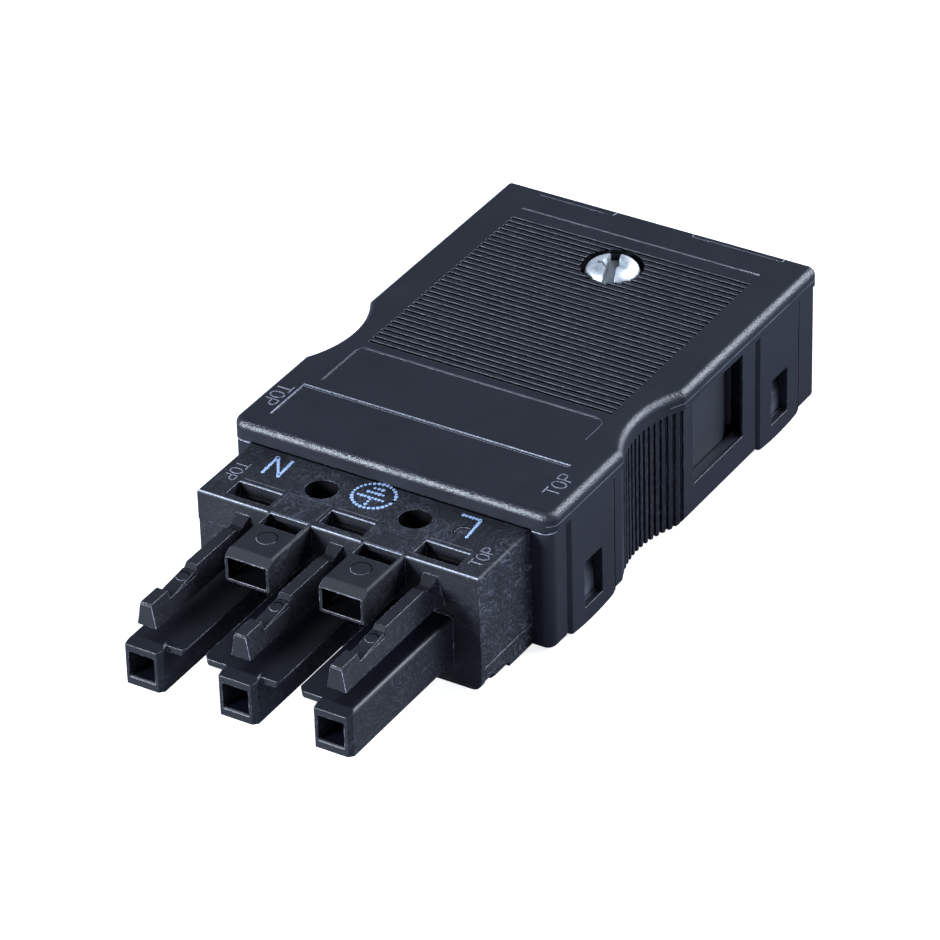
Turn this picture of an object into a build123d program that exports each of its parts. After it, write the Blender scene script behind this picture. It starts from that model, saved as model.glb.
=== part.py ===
from build123d import *
import math
import os

# A three-pole female installation connector in its strain relief housing.
# Millimetres. x runs across the poles, y from the sleeve tips to the cable end, z up.

# Poles and connector body
pole_pitch = 10.0
pole_count = 3
pole_edge = 5.0
body_front = 17.1
body_shown = 9.1
body_held = 11.8
body_top = 12.37
body_edge_radius = 0.3
body_lower_radius = 1.1
front_wall = 0.6
front_step_depth = 0.12
front_step_rise = 0.06
parting_height = 2.3
parting_gap = 0.05
foot_bevel = 0.9
foot_bevel_length = 1.6
bump_bevel = 0.5
bump_length = 2.5

# Housing
housing_length = 49.8
running_gap = 0.05
wall = 1.3
plate_thickness = 1.4
lid_gap = 0.53
cover_band = 2.0
shell_drop = 0.55
corner_radius = 1.1
cover_corner_radius = 1.4
cover_edge_radius = 0.75
cover_lip = 0.18
foot_radius = 0.85
waist_gap = 1.75
waist_radius = 11.3
waist_depth = 1.6
waist_rib_pitch = 0.76
waist_groove_width = 0.42
waist_groove_depth = 0.3
waist_ribs_share = 0.83
rear_wall = 2.0

# Latching tabs of the cover and the lugs that hold them
tab_setback = 3.0
rear_tab_setback = 11.3
tab_width = 8.0
tab_thickness = 1.2
tab_slit = 0.3
tab_backing = 0.75
tab_bow = 0.28
tab_corner = 0.35
tab_edge_bevel = 0.4
tab_zone = 1.2
latch_window_offset = 2.6
latch_window_width = 3.25
latch_window_bottom = 1.2
latch_window_height = 5.0
lug_reach = 0.55
lug_peak_height = 1.9
lug_gap = 0.15

# Side openings of the lower shell and the flaps of the cover behind them
side_window_gap = 1.85
side_window_rear_gap = 2.75
side_window_bottom = 2.95
side_window_skin = 0.3
side_pocket_length = 1.4
flap_lead = 1.2
flap_rear_gap = 1.1
flap_thickness = 1.1
flap_drop = 0.55
flap_corner = 1.6
flap_gap = 0.1
flap_rib_gap = 1.15
flap_rib_width = 0.4
flap_rib_rise = 0.8

# Ribbed field and thin outlines on top of the cover
field_margin = 3.85
field_lead = 0.73
field_rear_gap = 1.9
field_pitch = 0.793
field_groove_width = 0.36
field_groove_depth = 0.25
line_width = 0.16
line_depth = 0.1
outline_rear_gap = 3.8
panel_setback = 8.25
panel_gap = 1.65
panel_rear_gap = 1.42
panel_side_margin = 2.75
panel_side_length = 5.5
panel_margin = 3.75
panel_corner = 0.6

# Cable entries, saddles and the clamp bridge
entry_radius = 4.9
entry_spacing = 17.8
entry_cap = 0.9
saddle_radius = 4.7
saddle_drop = 3.5
saddle_width = 9.0
saddle_rib = 0.8
saddle_pitch = 2.9
bridge_side_gap = 1.05
bridge_length = 9.7
bridge_thickness = 2.1
bridge_drop = 0.4
bridge_corner = 0.6
arch_radius = 4.4
arch_cap = 1.1
tooth_rib = 0.6
tooth_height = 0.4
tooth_pitch = 2.6
tooth_sink = 0.3
guide_width = 0.7
guide_reach = 2.5
guide_gap = 0.15
guide_drop = 1.0
clamp_travel = 3.0

# Strain relief screw and its nut
screw_setback = 9.05
screw_radius = 1.5
screw_tip = 0.3
head_radius = 2.72
head_height = 2.2
head_bevel = 0.3
head_slot_width = 1.2
head_slot_depth = 0.9
head_slot_angle = -20.4
head_cross_reach = 1.35
head_cross_width = 0.7
screw_hole_radius = 3.1
shank_gap = 0.04
passage_gap = 0.2
pillar_half = 3.9
pillar_room = 0.32
pillar_cap = 0.4
nut_half = 2.75
nut_thickness = 1.8
nut_gap = 0.08

# Sleeves, their contact channels and the ledges beside them
sleeve_left = 1.7
sleeve_right = 2.1
sleeve_bottom = 2.5
sleeve_top = 7.24
sleeve_edge_radius = 0.45
sleeve_nose_bevel = 0.45
sleeve_nose_length = 0.95
sleeve_nose_drop = 0.52
channel_half = 1.38
channel_bottom = 3.4
channel_height = 2.65
mouth_bevel = 0.15
ledge_reach = 4.05
ledge_thickness = 0.8
ledge_start = 1.2
ledge_corner = 0.55
ledge_front_corner = 0.4
ledge_bevel_length = 0.5
ledge_bevel_drop = 0.15

# Latch arms above the sleeves
arm_start = 1.2
arm_bottom = 8.45
arm_top = 10.9
arm_half_bottom = 1.0
arm_half_top = 0.58
arm_hook_length = 2.65
arm_hook_slope = 0.1
arm_nose_bevel = 0.2
arm_flat_drop = 0.85
arm_step_start = 8.1
arm_step_run = 0.5
arm_neck_start = 14.9
arm_neck_length = 1.1
arm_neck_slope = 0.5
arm_neck_drop = 0.3
arm_root_rise = 0.45
arm_root_drop = 0.2
arm_root_half_top = 0.78
arm_root_half_bottom = 1.35
root_sink = 0.2

# Coding boxes between the arms
box_start = 10.0
box_half = 2.32
box_height = 3.25
box_side_wall = 0.28
box_top_wall = 0.7
box_nose_length = 0.9
box_nose_drop = 0.7
box_edge_radius = 0.35
box_window_margin = 0.32
box_window_length = 1.95

# Windows and round holes in the top of the body
top_window_half = 2.3
top_window_setback = 0.8
top_window_length = 2.2
top_window_depth = 3.4
top_window_slant = 1.1
top_window_lip = 1.2
round_hole_radius = 1.56
round_hole_setback = 5.5
round_hole_depth = 8.0

# Chambers, contacts and springs inside the body
neck_wall = 0.24
neck_setback = 3.5
chamber_wall = 1.2
chamber_length = 6.5
chamber_rear_wall = 6.0
chamber_cap = 3.47
wire_bore_radius = 2.0
wire_bore_edge = 0.1
wire_bore_rise = 2.2
contact_start = 3.0
fork_half = 1.0
fork_leaf = 0.4
fork_height = 2.2
fork_length = 13.0
fork_root = 2.5
bar_thickness = 0.8
bar_half = 1.2
plate_gap = 0.2
plate_lead = 1.0
plate_rear_gap = 0.5
clip_start = 5.0
clip_length = 4.5
clip_thickness = 0.2
clip_gap = 0.04
clip_drop = 1.9
spring_spacing = 1.0
spring_side_gap = 0.3
spring_thickness = 0.3
spring_bend_gap = 2.8
spring_tail_gap = 0.8
spring_tip_rear_gap = 1.1
spring_leg_drop = 3.1
spring_tip_gap = 0.15

# Overshoot of cutting tools and sink of joined pieces
cut_over = 1.0
sink = 0.1

pole_places = [pole_pitch * (i - (pole_count - 1) / 2) for i in range(pole_count)]
gap_places = [(a + b) / 2 for a, b in zip(pole_places, pole_places[1:])]
entry_places = (-entry_spacing / 2, entry_spacing / 2)
body_half = pole_places[-1] + pole_edge
backing_inner = body_half + running_gap
backing_outer = backing_inner + tab_backing
tab_inner = backing_outer + running_gap
housing_half = tab_inner + tab_thickness
cover_half = housing_half + cover_lip
inner_wall = housing_half - wall
housing_front = body_front + body_shown
body_rear = housing_front + body_held
housing_rear = housing_front + housing_length
rear_wall_start = housing_rear - rear_wall
plate_under = body_top + lid_gap
housing_height = plate_under + plate_thickness
seam_height = housing_height - cover_band
floor_top = wall - shell_drop
tab_starts = (housing_front + tab_setback, housing_rear - rear_tab_setback)
waist_reach = math.sqrt(waist_radius ** 2 - (waist_radius - waist_depth) ** 2)
waist_centre = tab_starts[0] + tab_width + waist_gap + waist_reach
side_window_start = waist_centre + waist_reach + side_window_gap
side_window_end = tab_starts[1] - side_window_rear_gap
field_half = housing_half - field_margin
field_start = waist_centre - field_lead
outline_rear = housing_rear - outline_rear_gap
panel_front = housing_front + panel_setback
panel_line = field_start - panel_rear_gap
panel_side = housing_half - panel_side_margin
panel_half = housing_half - panel_margin
entry_height = plate_under - entry_cap - entry_radius
screw_y = housing_rear - screw_setback
bridge_half = backing_inner - bridge_side_gap
bridge_front = screw_y - bridge_length / 2
bridge_top = plate_under - bridge_drop
bridge_under = bridge_top - bridge_thickness
arch_height = bridge_top - arch_cap - arch_radius
pillar_top = bridge_under - clamp_travel - pillar_room
nut_height = pillar_top - pillar_cap - nut_gap - nut_thickness
screw_length = bridge_top - nut_height + screw_tip
sleeve_end = body_front + front_wall
box_bottom = body_top - box_height
front_step_height = box_bottom + front_step_rise
round_hole_y = body_front + round_hole_setback
neck_half = pole_pitch / 2 - round_hole_radius - neck_wall
neck_start = body_front + neck_setback
chamber_half = (pole_pitch - chamber_wall) / 2
chamber_end = body_rear - chamber_rear_wall
chamber_start = chamber_end - chamber_length
chamber_top = body_top - chamber_cap
wire_bore_offset = chamber_half - wire_bore_radius - wire_bore_edge
wire_bore_height = channel_bottom + wire_bore_rise
plate_half = chamber_half - plate_gap
plate_start = chamber_start + plate_lead
plate_end = chamber_end - plate_rear_gap
spring_room = chamber_half - spring_side_gap
spring_width = spring_room - spring_spacing / 2
spring_offset = (spring_room + spring_spacing / 2) / 2
overall_length = housing_rear


def block(x0, x1, y0, y1, z0, z1):
    """Box between two corners."""
    size = Box(x1 - x0, y1 - y0, z1 - z0)
    return Pos((x0 + x1) / 2, (y0 + y1) / 2, (z0 + z1) / 2) * size


def along_x(points, x0, x1):
    """Prism with a y-z outline."""
    face = make_face(Polyline(*[(0, y, z) for y, z in points], close=True))
    return Pos(x0, 0, 0) * extrude(face, x1 - x0, dir=(1, 0, 0))


def along_y(points, y0, y1):
    """Prism with an x-z outline."""
    face = make_face(Polyline(*[(x, 0, z) for x, z in points], close=True))
    return Pos(0, y0, 0) * extrude(face, y1 - y0, dir=(0, 1, 0))


def rod_y(x, z, radius, y0, y1):
    """Round bar along y."""
    return Pos(x, (y0 + y1) / 2, z) * Rot(90, 0, 0) * Cylinder(radius, y1 - y0)


def rod_z(x, y, radius, z0, z1):
    """Upright round bar."""
    return Pos(x, y, (z0 + z1) / 2) * Cylinder(radius, z1 - z0)


def both_sides(shape):
    """A shape and its mirror image across the middle."""
    return [shape, mirror(shape, about=Plane.YZ)]


def upright_edges(shape, xs, ys):
    """Vertical edges that stand at one of the given places."""
    def wanted(edge):
        c = edge.center()
        return any(abs(abs(c.X) - x) < 0.01 for x in xs) and any(abs(c.Y - y) < 0.01 for y in ys)
    return [e for e in shape.edges().filter_by(Axis.Z) if wanted(e)]


def plan(inset):
    """Housing outline seen from above, moved inwards by an inset."""
    half = housing_half - inset
    radius = waist_radius + inset
    centre = housing_half - waist_depth + waist_radius
    reach = math.sqrt(radius ** 2 - (centre - half) ** 2)
    deepest = centre - radius
    front = housing_front + inset
    rear = housing_rear - inset
    y0 = waist_centre - reach
    y1 = waist_centre + reach
    lines = Curve() + [
        Polyline((-half, y0), (-half, front), (half, front), (half, y0)),
        ThreePointArc((half, y0), (deepest, waist_centre), (half, y1)),
        Polyline((half, y1), (half, rear), (-half, rear), (-half, y1)),
        ThreePointArc((-half, y1), (-deepest, waist_centre), (-half, y0)),
    ]
    return make_face(lines)


def slab(inset, z0, z1):
    """Housing outline as a solid between two heights."""
    return Pos(0, 0, z0) * extrude(plan(inset), z1 - z0, dir=(0, 0, 1))


def tab_space(start):
    """Room that a latching tab takes in the side of the lower shell."""
    return block(backing_outer, housing_half + cut_over, start - tab_slit, start + tab_width + tab_slit,
                 -shell_drop - cut_over, seam_height + cut_over)


def tab_backing_block(y0, y1):
    """Inner wall of the lower shell behind a latching tab."""
    return block(backing_inner, inner_wall + sink, y0, y1, floor_top - sink, seam_height)


def lug(start):
    """Ramp on the lower shell that snaps into a tab's window."""
    base = backing_outer - tab_backing / 2
    peak = backing_outer + lug_reach
    top = latch_window_bottom + latch_window_height - lug_gap
    low = latch_window_bottom + lug_gap
    y0 = start + latch_window_offset + lug_gap
    y1 = start + latch_window_offset + latch_window_width - lug_gap
    mid = low + lug_peak_height
    return along_y([(base, top), (backing_outer, top), (peak, mid), (peak, low), (base, low)], y0, y1)


def waist_grooves():
    """Upright grooves that leave the grip ribs in the waist."""
    cuts = []
    centre = housing_half - waist_depth + waist_radius
    height = seam_height + shell_drop
    first = waist_centre + waist_reach - waist_rib_pitch / 4
    count = int(waist_ribs_share * 2 * waist_reach / waist_rib_pitch) + 1
    for i in range(count):
        y = first - i * waist_rib_pitch
        x = centre - math.sqrt(waist_radius ** 2 - (y - waist_centre) ** 2)
        turn = math.degrees(math.asin((y - waist_centre) / waist_radius))
        cutter = Box(2 * waist_groove_depth, waist_groove_width, height)
        cuts += both_sides(Pos(x, y, height / 2 - shell_drop) * Rot(0, 0, -turn) * cutter)
    return cuts


def entry_bores():
    """Cutting rods of the two cable entries in the rear wall."""
    return [rod_y(x, entry_height, entry_radius, rear_wall_start - cut_over, housing_rear + cut_over)
            for x in entry_places]


def saddles():
    """Ribs in the lower shell that the cables lie on."""
    ribs = []
    top = entry_height - saddle_drop
    for x in entry_places:
        for i in (-1, 0, 1):
            y = screw_y + i * saddle_pitch
            rib = block(x - saddle_width / 2, x + saddle_width / 2, y - saddle_rib / 2,
                        y + saddle_rib / 2, floor_top - sink, top)
            ribs.append(rib - rod_y(x, entry_height, saddle_radius, y - cut_over, y + cut_over))
    return ribs


def nut_pillar():
    """Pillar between the cables with the nut's pocket open to the front."""
    room = nut_half + nut_gap
    post = block(-pillar_half, pillar_half, screw_y - pillar_half, screw_y + pillar_half,
                 floor_top - sink, pillar_top)
    pocket = block(-room, room, screw_y - pillar_half - cut_over, screw_y + room,
                   nut_height, pillar_top - pillar_cap)
    bore = rod_z(0, screw_y, screw_radius + passage_gap, floor_top, pillar_top + cut_over)
    return post - pocket - bore


def guides():
    """Upright ribs that guide the clamp bridge."""
    ribs = []
    x1 = backing_inner + sink
    x0 = x1 - guide_reach
    for y in (bridge_front - guide_gap - guide_width, bridge_front + bridge_length + guide_gap):
        ribs += both_sides(block(x0, x1, y, y + guide_width, floor_top - sink, seam_height - guide_drop))
    return ribs


def base_shell():
    """Lower half of the housing."""
    shell = slab(0, -shell_drop, seam_height)
    shell = fillet(upright_edges(shell, [housing_half], [housing_front]), corner_radius)
    low = [e for e in shell.faces().sort_by(Axis.Z)[0].edges() if abs(e.center().Y - waist_centre) > 0.01]
    shell = fillet(low, foot_radius)
    shell -= slab(wall, floor_top, seam_height + cut_over)
    zones = [(housing_front + corner_radius, tab_starts[0] + tab_width + tab_zone),
             (tab_starts[1] - tab_zone, housing_rear - wall + sink)]
    for y0, y1 in zones:
        shell = shell + both_sides(tab_backing_block(y0, y1))
    shell += block(-backing_inner, backing_inner, rear_wall_start, housing_rear - wall + sink,
                   floor_top - sink, entry_height)
    shell -= block(-backing_inner, backing_inner, housing_front - cut_over, housing_front + wall + cut_over,
                   floor_top, seam_height + cut_over)
    shell -= block(-backing_inner, backing_inner, rear_wall_start - cut_over, housing_rear + cut_over,
                   entry_height, seam_height + cut_over)
    cuts = waist_grooves()
    for start in tab_starts:
        cuts += both_sides(tab_space(start))
    cuts += both_sides(block(inner_wall - cut_over, housing_half + cut_over, side_window_start,
                             side_window_end, side_window_bottom, seam_height + cut_over))
    cuts += both_sides(block(inner_wall - sink, housing_half - side_window_skin, side_window_end - sink,
                             side_window_end + side_pocket_length, side_window_bottom,
                             seam_height + cut_over))
    shell -= cuts
    lugs = []
    for start in tab_starts:
        lugs += both_sides(lug(start))
    shell = shell + lugs + saddles() + guides() + [nut_pillar()]
    return shell - entry_bores()


def top_line(x0, x1, y0, y1):
    """Shallow straight groove in the top face."""
    return block(x0, x1, y0, y1, housing_height - line_depth, housing_height + cut_over)


def field_grooves():
    """Fine grooves across the top of the cover."""
    half = field_groove_width / 2
    count = int((outline_rear - field_rear_gap - field_start) / field_pitch) + 1
    places = [field_start + i * field_pitch for i in range(count)]
    z0 = housing_height - field_groove_depth
    return [block(-field_half, field_half, y - half, y + half, z0, housing_height + cut_over) for y in places]


def panel_lines():
    """Thin lines that frame the bare panel and the ribbed field."""
    w = line_width
    return [
        top_line(-field_half, field_half, outline_rear - w, outline_rear),
        top_line(-panel_side, panel_side, panel_front - w, panel_front),
        top_line(-panel_side, -panel_side + w, panel_front - w - panel_side_length, panel_front - w),
        top_line(-panel_half, -panel_half + w, panel_front + panel_gap, panel_line - panel_corner),
        top_line(-panel_half + panel_corner, panel_half - panel_corner, panel_line - w, panel_line),
    ]


def tab(start):
    """Latching tab that hangs from the side of the cover, with its bowed lower edge."""
    end = start + tab_width
    low = tab_bow - shell_drop
    outline = Curve() + [
        Polyline((0, start, low), (0, start, plate_under), (0, end, plate_under), (0, end, low)),
        ThreePointArc((0, end, low), (0, (start + end) / 2, -shell_drop), (0, start, low)),
    ]
    bowed = Pos(tab_inner, 0, 0) * extrude(make_face(outline), cover_half - tab_inner, dir=(1, 0, 0))
    corners = [e for e in bowed.edges().filter_by(Axis.X) if e.center().Z < low + 0.01]
    body = block(tab_inner, cover_half, start, end, -shell_drop, plate_under)
    body = chamfer(upright_edges(body, [cover_half], [start]), tab_edge_bevel)
    body = body & fillet(corners, tab_corner)
    y0 = start + latch_window_offset
    window = block(tab_inner - cut_over, cover_half + cut_over, y0, y0 + latch_window_width,
                   latch_window_bottom, latch_window_bottom + latch_window_height)
    return body - window


def flap():
    """Inner flap of the cover and the rib behind it, seen through the side opening."""
    x1 = inner_wall - flap_gap
    x0 = x1 - flap_thickness
    low = side_window_bottom - flap_drop
    end = side_window_end - flap_rear_gap
    body = block(x0, x1, side_window_start - flap_lead, end, low, plate_under)
    corners = [e for e in body.edges().filter_by(Axis.X) if e.center().Z < low + 0.01]
    rib_start = end + flap_rib_gap
    rib = block(x0, x1, rib_start, rib_start + flap_rib_width, side_window_bottom + flap_rib_rise,
                plate_under)
    return [fillet(corners, flap_corner), rib]


def cover_edges(shape):
    """Outer top edges of the cover along its front and sides."""
    top = shape.faces().sort_by(Axis.Z)[-1]
    return [e for e in top.outer_wire().edges() if e.center().Y < housing_rear - 0.1]


def cover():
    """Upper half of the housing."""
    shell = slab(-cover_lip, seam_height + running_gap, housing_height)
    shell &= block(-cover_half, cover_half, housing_front, housing_rear, seam_height, housing_height)
    shell = fillet(upright_edges(shell, [cover_half], [housing_front]), cover_corner_radius)
    shell = fillet(cover_edges(shell), cover_edge_radius)
    shell -= slab(wall, 0, plate_under)
    shell -= block(-backing_inner, backing_inner, housing_front - cut_over, housing_front + wall + cut_over,
                   0, body_top + running_gap)
    extra = [block(-body_half, body_half, rear_wall_start, housing_rear, entry_height + running_gap,
                   plate_under)]
    for start in tab_starts:
        extra += both_sides(tab(start))
    for piece in flap():
        extra += both_sides(piece)
    shell = shell + extra
    shell -= entry_bores() + field_grooves() + panel_lines()
    return shell - rod_z(0, screw_y, screw_hole_radius, plate_under - cut_over, housing_height + cut_over)


def bridge():
    """Clamp bridge pressed down on the cables by the screw."""
    y1 = bridge_front + bridge_length
    body = block(-bridge_half, bridge_half, bridge_front, y1, bridge_under, bridge_top)
    body = fillet(upright_edges(body, [bridge_half], [bridge_front, y1]), bridge_corner)
    teeth = []
    for x in entry_places:
        body -= rod_y(x, arch_height, arch_radius, bridge_front - cut_over, y1 + cut_over)
        for side in (-1, 1):
            y0 = screw_y + side * tooth_pitch - tooth_rib / 2
            y2 = y0 + tooth_rib
            tooth = block(x - arch_radius, x + arch_radius, y0, y2, bridge_under, bridge_top - tooth_sink)
            room = rod_y(x, arch_height, arch_radius - tooth_height, y0 - cut_over, y2 + cut_over)
            teeth.append(tooth - room)
    body = body + teeth
    return body - rod_z(0, screw_y, screw_radius + passage_gap, 0, housing_height)


def screw():
    """Pan head screw with a combined slot and cross recess."""
    top = bridge_top + head_height
    head = rod_z(0, screw_y, head_radius, bridge_top, top)
    head = chamfer(head.edges().sort_by(Axis.Z)[-1], head_bevel)
    slot = Box(2 * head_radius + cut_over, head_slot_width, 2 * head_slot_depth)
    cross = Box(head_cross_width, 2 * head_cross_reach, 2 * head_slot_depth)
    head -= Pos(0, screw_y, top) * Rot(0, 0, 90 - head_slot_angle) * (slot + cross)
    return head + rod_z(0, screw_y, screw_radius, bridge_top - screw_length, bridge_top)


def nut():
    """Square nut in the pillar."""
    body = block(-nut_half, nut_half, screw_y - nut_half, screw_y + nut_half, nut_height,
                 nut_height + nut_thickness)
    return body - rod_z(0, screw_y, screw_radius + shank_gap, 0, housing_height)


def nose_wedge(start, length, top, drop, half):
    """Cutter that leaves a sloping nose on the front of a block."""
    points = [(start - cut_over, top - drop), (start, top - drop), (start + length, top),
              (start + length, top + cut_over), (start - cut_over, top + cut_over)]
    return along_x(points, -half, half)


def sleeve():
    """Contact sleeve with its bevelled nose."""
    body = block(-sleeve_left, sleeve_right, 0, sleeve_end, sleeve_bottom, sleeve_top)
    body = chamfer([e for e in body.edges().filter_by(Axis.Z)
                    if e.center().X > 0 and e.center().Y < 0.01], sleeve_nose_bevel)
    long_edges = [e for e in body.edges().filter_by(Axis.Y) if e.center().Z > sleeve_top - 0.01]
    body = fillet(long_edges, sleeve_edge_radius)
    return body - nose_wedge(0, sleeve_nose_length, sleeve_top, sleeve_nose_drop, ledge_reach)


def ledge():
    """Thin ledge along the right side of a sleeve."""
    z0 = sleeve_top - ledge_thickness
    points = [(0, z0), (ledge_reach - ledge_corner, z0), (ledge_reach, z0 + ledge_corner),
              (ledge_reach, sleeve_top), (0, sleeve_top)]
    body = along_y(points, ledge_start, sleeve_end)
    corner = [e for e in body.edges().filter_by(Axis.Z)
              if e.center().X > ledge_reach - 0.01 and e.center().Y < ledge_start + 0.01]
    body = chamfer(corner, ledge_front_corner)
    return body - nose_wedge(ledge_start, ledge_bevel_length, sleeve_top, ledge_bevel_drop,
                             ledge_reach + cut_over)


def arm_section(y, half_top, half_bottom, z0, z1):
    """Trapezoid across a latch arm."""
    points = [(-half_bottom, y, z0), (-half_top, y, z1), (half_top, y, z1), (half_bottom, y, z0)]
    return make_face(Polyline(*points, close=True))


def arm():
    """Latch arm with its hook, flat and flared root."""
    hook_end = arm_start + arm_hook_length
    flat = arm_top - arm_flat_drop
    neck = arm_top - arm_neck_drop
    neck_end = arm_neck_start + arm_neck_length
    root = body_front + root_sink
    side = along_x([
        (arm_start, arm_bottom), (arm_start, arm_top - arm_nose_bevel),
        (arm_start + arm_nose_bevel, arm_top), (hook_end, arm_top), (hook_end + arm_hook_slope, flat),
        (arm_step_start, flat), (arm_step_start + arm_step_run, arm_top), (arm_neck_start, arm_top),
        (arm_neck_start + arm_neck_slope, neck), (root, neck), (root, arm_bottom)],
        -arm_root_half_bottom, arm_root_half_bottom)
    section = loft([arm_section(0, arm_half_top, arm_half_bottom, arm_bottom, arm_top),
                    arm_section(root + cut_over, arm_half_top, arm_half_bottom, arm_bottom, arm_top)])
    flare = loft([arm_section(neck_end, arm_half_top, arm_half_bottom, arm_bottom, neck),
                  arm_section(root, arm_root_half_top, arm_root_half_bottom,
                              arm_bottom - arm_root_drop, arm_top + arm_root_rise)])
    return (side & section) + flare


def coding_box(x):
    """Box between two latch arms."""
    y1 = body_front + 2 * body_edge_radius
    body = block(x - box_half, x + box_half, box_start, y1, box_bottom, body_top)
    long_edges = [e for e in body.edges().filter_by(Axis.Y) if e.center().Z > body_top - 0.01]
    body = fillet(long_edges, box_edge_radius)
    wedge = nose_wedge(box_start, box_nose_length, body_top, box_nose_drop, box_half + sink)
    return body - Pos(x, 0, 0) * wedge


def box_room(x):
    """Hollow of a coding box and its window at the root."""
    half = box_half - box_side_wall
    half_top = box_half - box_window_margin
    under = body_top - box_top_wall
    room = block(x - half, x + half, box_start - cut_over, sleeve_end, box_bottom + box_side_wall, under)
    top = block(x - half_top, x + half_top, body_front - box_window_length, body_front, under - sink,
                body_top + cut_over)
    return [room, top]


def top_window(x):
    """Window in the top of the body with a slanting rear wall."""
    y0 = body_front + top_window_setback
    y1 = y0 + top_window_length
    z0 = body_top - top_window_depth
    points = [(y0, body_top + cut_over), (y0, z0), (y1 - top_window_slant, z0),
              (y1, body_top - top_window_lip), (y1, body_top + cut_over)]
    return along_x(points, x - top_window_half, x + top_window_half)


def pole_rooms(x):
    """Channel with its bevelled mouth, chamber and wire bores of one pole."""
    rooms = [
        block(x - channel_half, x + channel_half, -cut_over, neck_start + sink, channel_bottom,
              channel_bottom + channel_height),
        block(x - neck_half, x + neck_half, neck_start, chamber_start + sink, 0, chamber_top),
        block(x - chamber_half, x + chamber_half, chamber_start, chamber_end, 0, chamber_top),
    ]
    low = channel_bottom - mouth_bevel
    sill = [(-cut_over, low - cut_over), (mouth_bevel, channel_bottom), (mouth_bevel, channel_bottom + sink),
            (-cut_over, channel_bottom + sink)]
    rooms.append(along_x(sill, x - channel_half, x + channel_half))
    for side in (-1, 1):
        rooms.append(rod_y(x + side * wire_bore_offset, wire_bore_height, wire_bore_radius,
                           chamber_end - cut_over, body_rear + cut_over))
    return rooms


def front_plate():
    """Front wall of the body, which reaches down past the lower cover."""
    y0 = body_front + front_step_depth
    plate = block(-body_half, body_half, y0, y0 + front_wall, 0, body_top - cut_over)
    low = [e for e in plate.edges().filter_by(Axis.Y) if e.center().Z < 0.01]
    return fillet(low, body_lower_radius)


def connector_body():
    """Upper moulding of the connector with its sleeves, arms and coding boxes."""
    body = block(-body_half, body_half, body_front, body_rear, parting_height + parting_gap, body_top)
    edges = [e for e in body.edges().filter_by(Axis.Y) if e.center().Z > body_top - 0.01]
    edges += [e for e in body.edges().filter_by(Axis.X)
              if e.center().Z > body_top - 0.01 and e.center().Y < body_front + 0.01]
    body = fillet(edges, body_edge_radius)
    body -= block(-body_half - cut_over, body_half + cut_over, body_front - cut_over,
                  body_front + front_step_depth, 0, front_step_height)
    pieces = [front_plate()]
    pieces += [Pos(x, 0, 0) * (sleeve() + arm()) for x in pole_places]
    pieces += [Pos(x, 0, 0) * ledge() for x in pole_places[:-1]]
    pieces += [Pos(x, 0, 0) * mirror(ledge(), about=Plane.YZ) for x in pole_places[1:]]
    pieces += [coding_box(x) for x in gap_places]
    body = body + pieces
    cuts = []
    for x in pole_places:
        cuts += pole_rooms(x) + [top_window(x)]
    for x in gap_places:
        cuts += box_room(x)
        cuts.append(rod_z(x, round_hole_y, round_hole_radius, body_top - round_hole_depth,
                          body_top + cut_over))
    return body - cuts


def foot_corner(bevel, y0, y1):
    """Cutter for the lower side edge of the foot."""
    points = [(body_half - bevel, 0), (body_half, bevel), (body_half + cut_over, bevel),
              (body_half + cut_over, -cut_over), (body_half - bevel, -cut_over)]
    return along_y(points, y0, y1)


def connector_base():
    """Lower cover of the connector that closes its chambers."""
    y0 = body_front + front_step_depth + front_wall + parting_gap
    y1 = y0 + foot_bevel_length
    body = block(-body_half, body_half, y0, body_rear, floor_top, parting_height)
    body += block(-body_half, body_half, y0, housing_front - running_gap, 0, parting_height)
    body -= both_sides(foot_corner(foot_bevel, y0 - cut_over, y1))
    body -= both_sides(foot_corner(bump_bevel, y1, y1 + bump_length))
    pads = [block(x - plate_half, x + plate_half, plate_start, plate_end, parting_height - sink,
                  channel_bottom) for x in pole_places]
    return body + pads


def contact(x):
    """Fork contact with its bar and clamping plate."""
    z0 = channel_bottom
    y1 = contact_start + fork_length
    y2 = y1 + fork_root
    leaf = block(fork_half - fork_leaf, fork_half, contact_start, y1, z0, z0 + fork_height)
    root = block(-fork_half, fork_half, y1 - sink, y2, z0, z0 + fork_height)
    bar = block(-bar_half, bar_half, y2 - 2 * sink, plate_start + sink, z0, z0 + bar_thickness)
    plate = block(-plate_half, plate_half, plate_start, plate_end, z0, z0 + bar_thickness)
    return Pos(x, 0, 0) * (root + both_sides(leaf) + [bar, plate])


def clip(x):
    """Steel clip that presses the fork's leaves together."""
    inner = fork_half + clip_gap
    outer = inner + clip_thickness
    under = channel_bottom + fork_height + clip_gap
    top = under + clip_thickness
    low = top - clip_drop
    points = [(-outer, low), (-outer, top), (outer, top), (outer, low), (inner, low), (inner, under),
              (-inner, under), (-inner, low)]
    return Pos(x, 0, 0) * along_y(points, clip_start, clip_start + clip_length)


def clamp_spring(x):
    """Bent leaf spring that presses a conductor on the contact's plate."""
    high = chamber_top - spring_thickness / 2
    leg = chamber_top - spring_leg_drop
    tip = channel_bottom + bar_thickness + spring_tip_gap + spring_thickness / 2
    bend = chamber_start + spring_bend_gap
    path = Curve() + [
        Line((0, chamber_end - spring_tail_gap, high), (0, bend, high)),
        ThreePointArc((0, bend, high), (0, bend - (high - leg) / 2, (high + leg) / 2), (0, bend, leg)),
        Line((0, bend, leg), (0, chamber_end - spring_tip_rear_gap, tip)),
    ]
    flat = Plane.YZ.to_local_coords(path)
    strip = Plane.YZ * trace(flat.edges(), spring_thickness)
    return Pos(x - spring_width / 2, 0, 0) * extrude(strip, spring_width, dir=(1, 0, 0))


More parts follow.
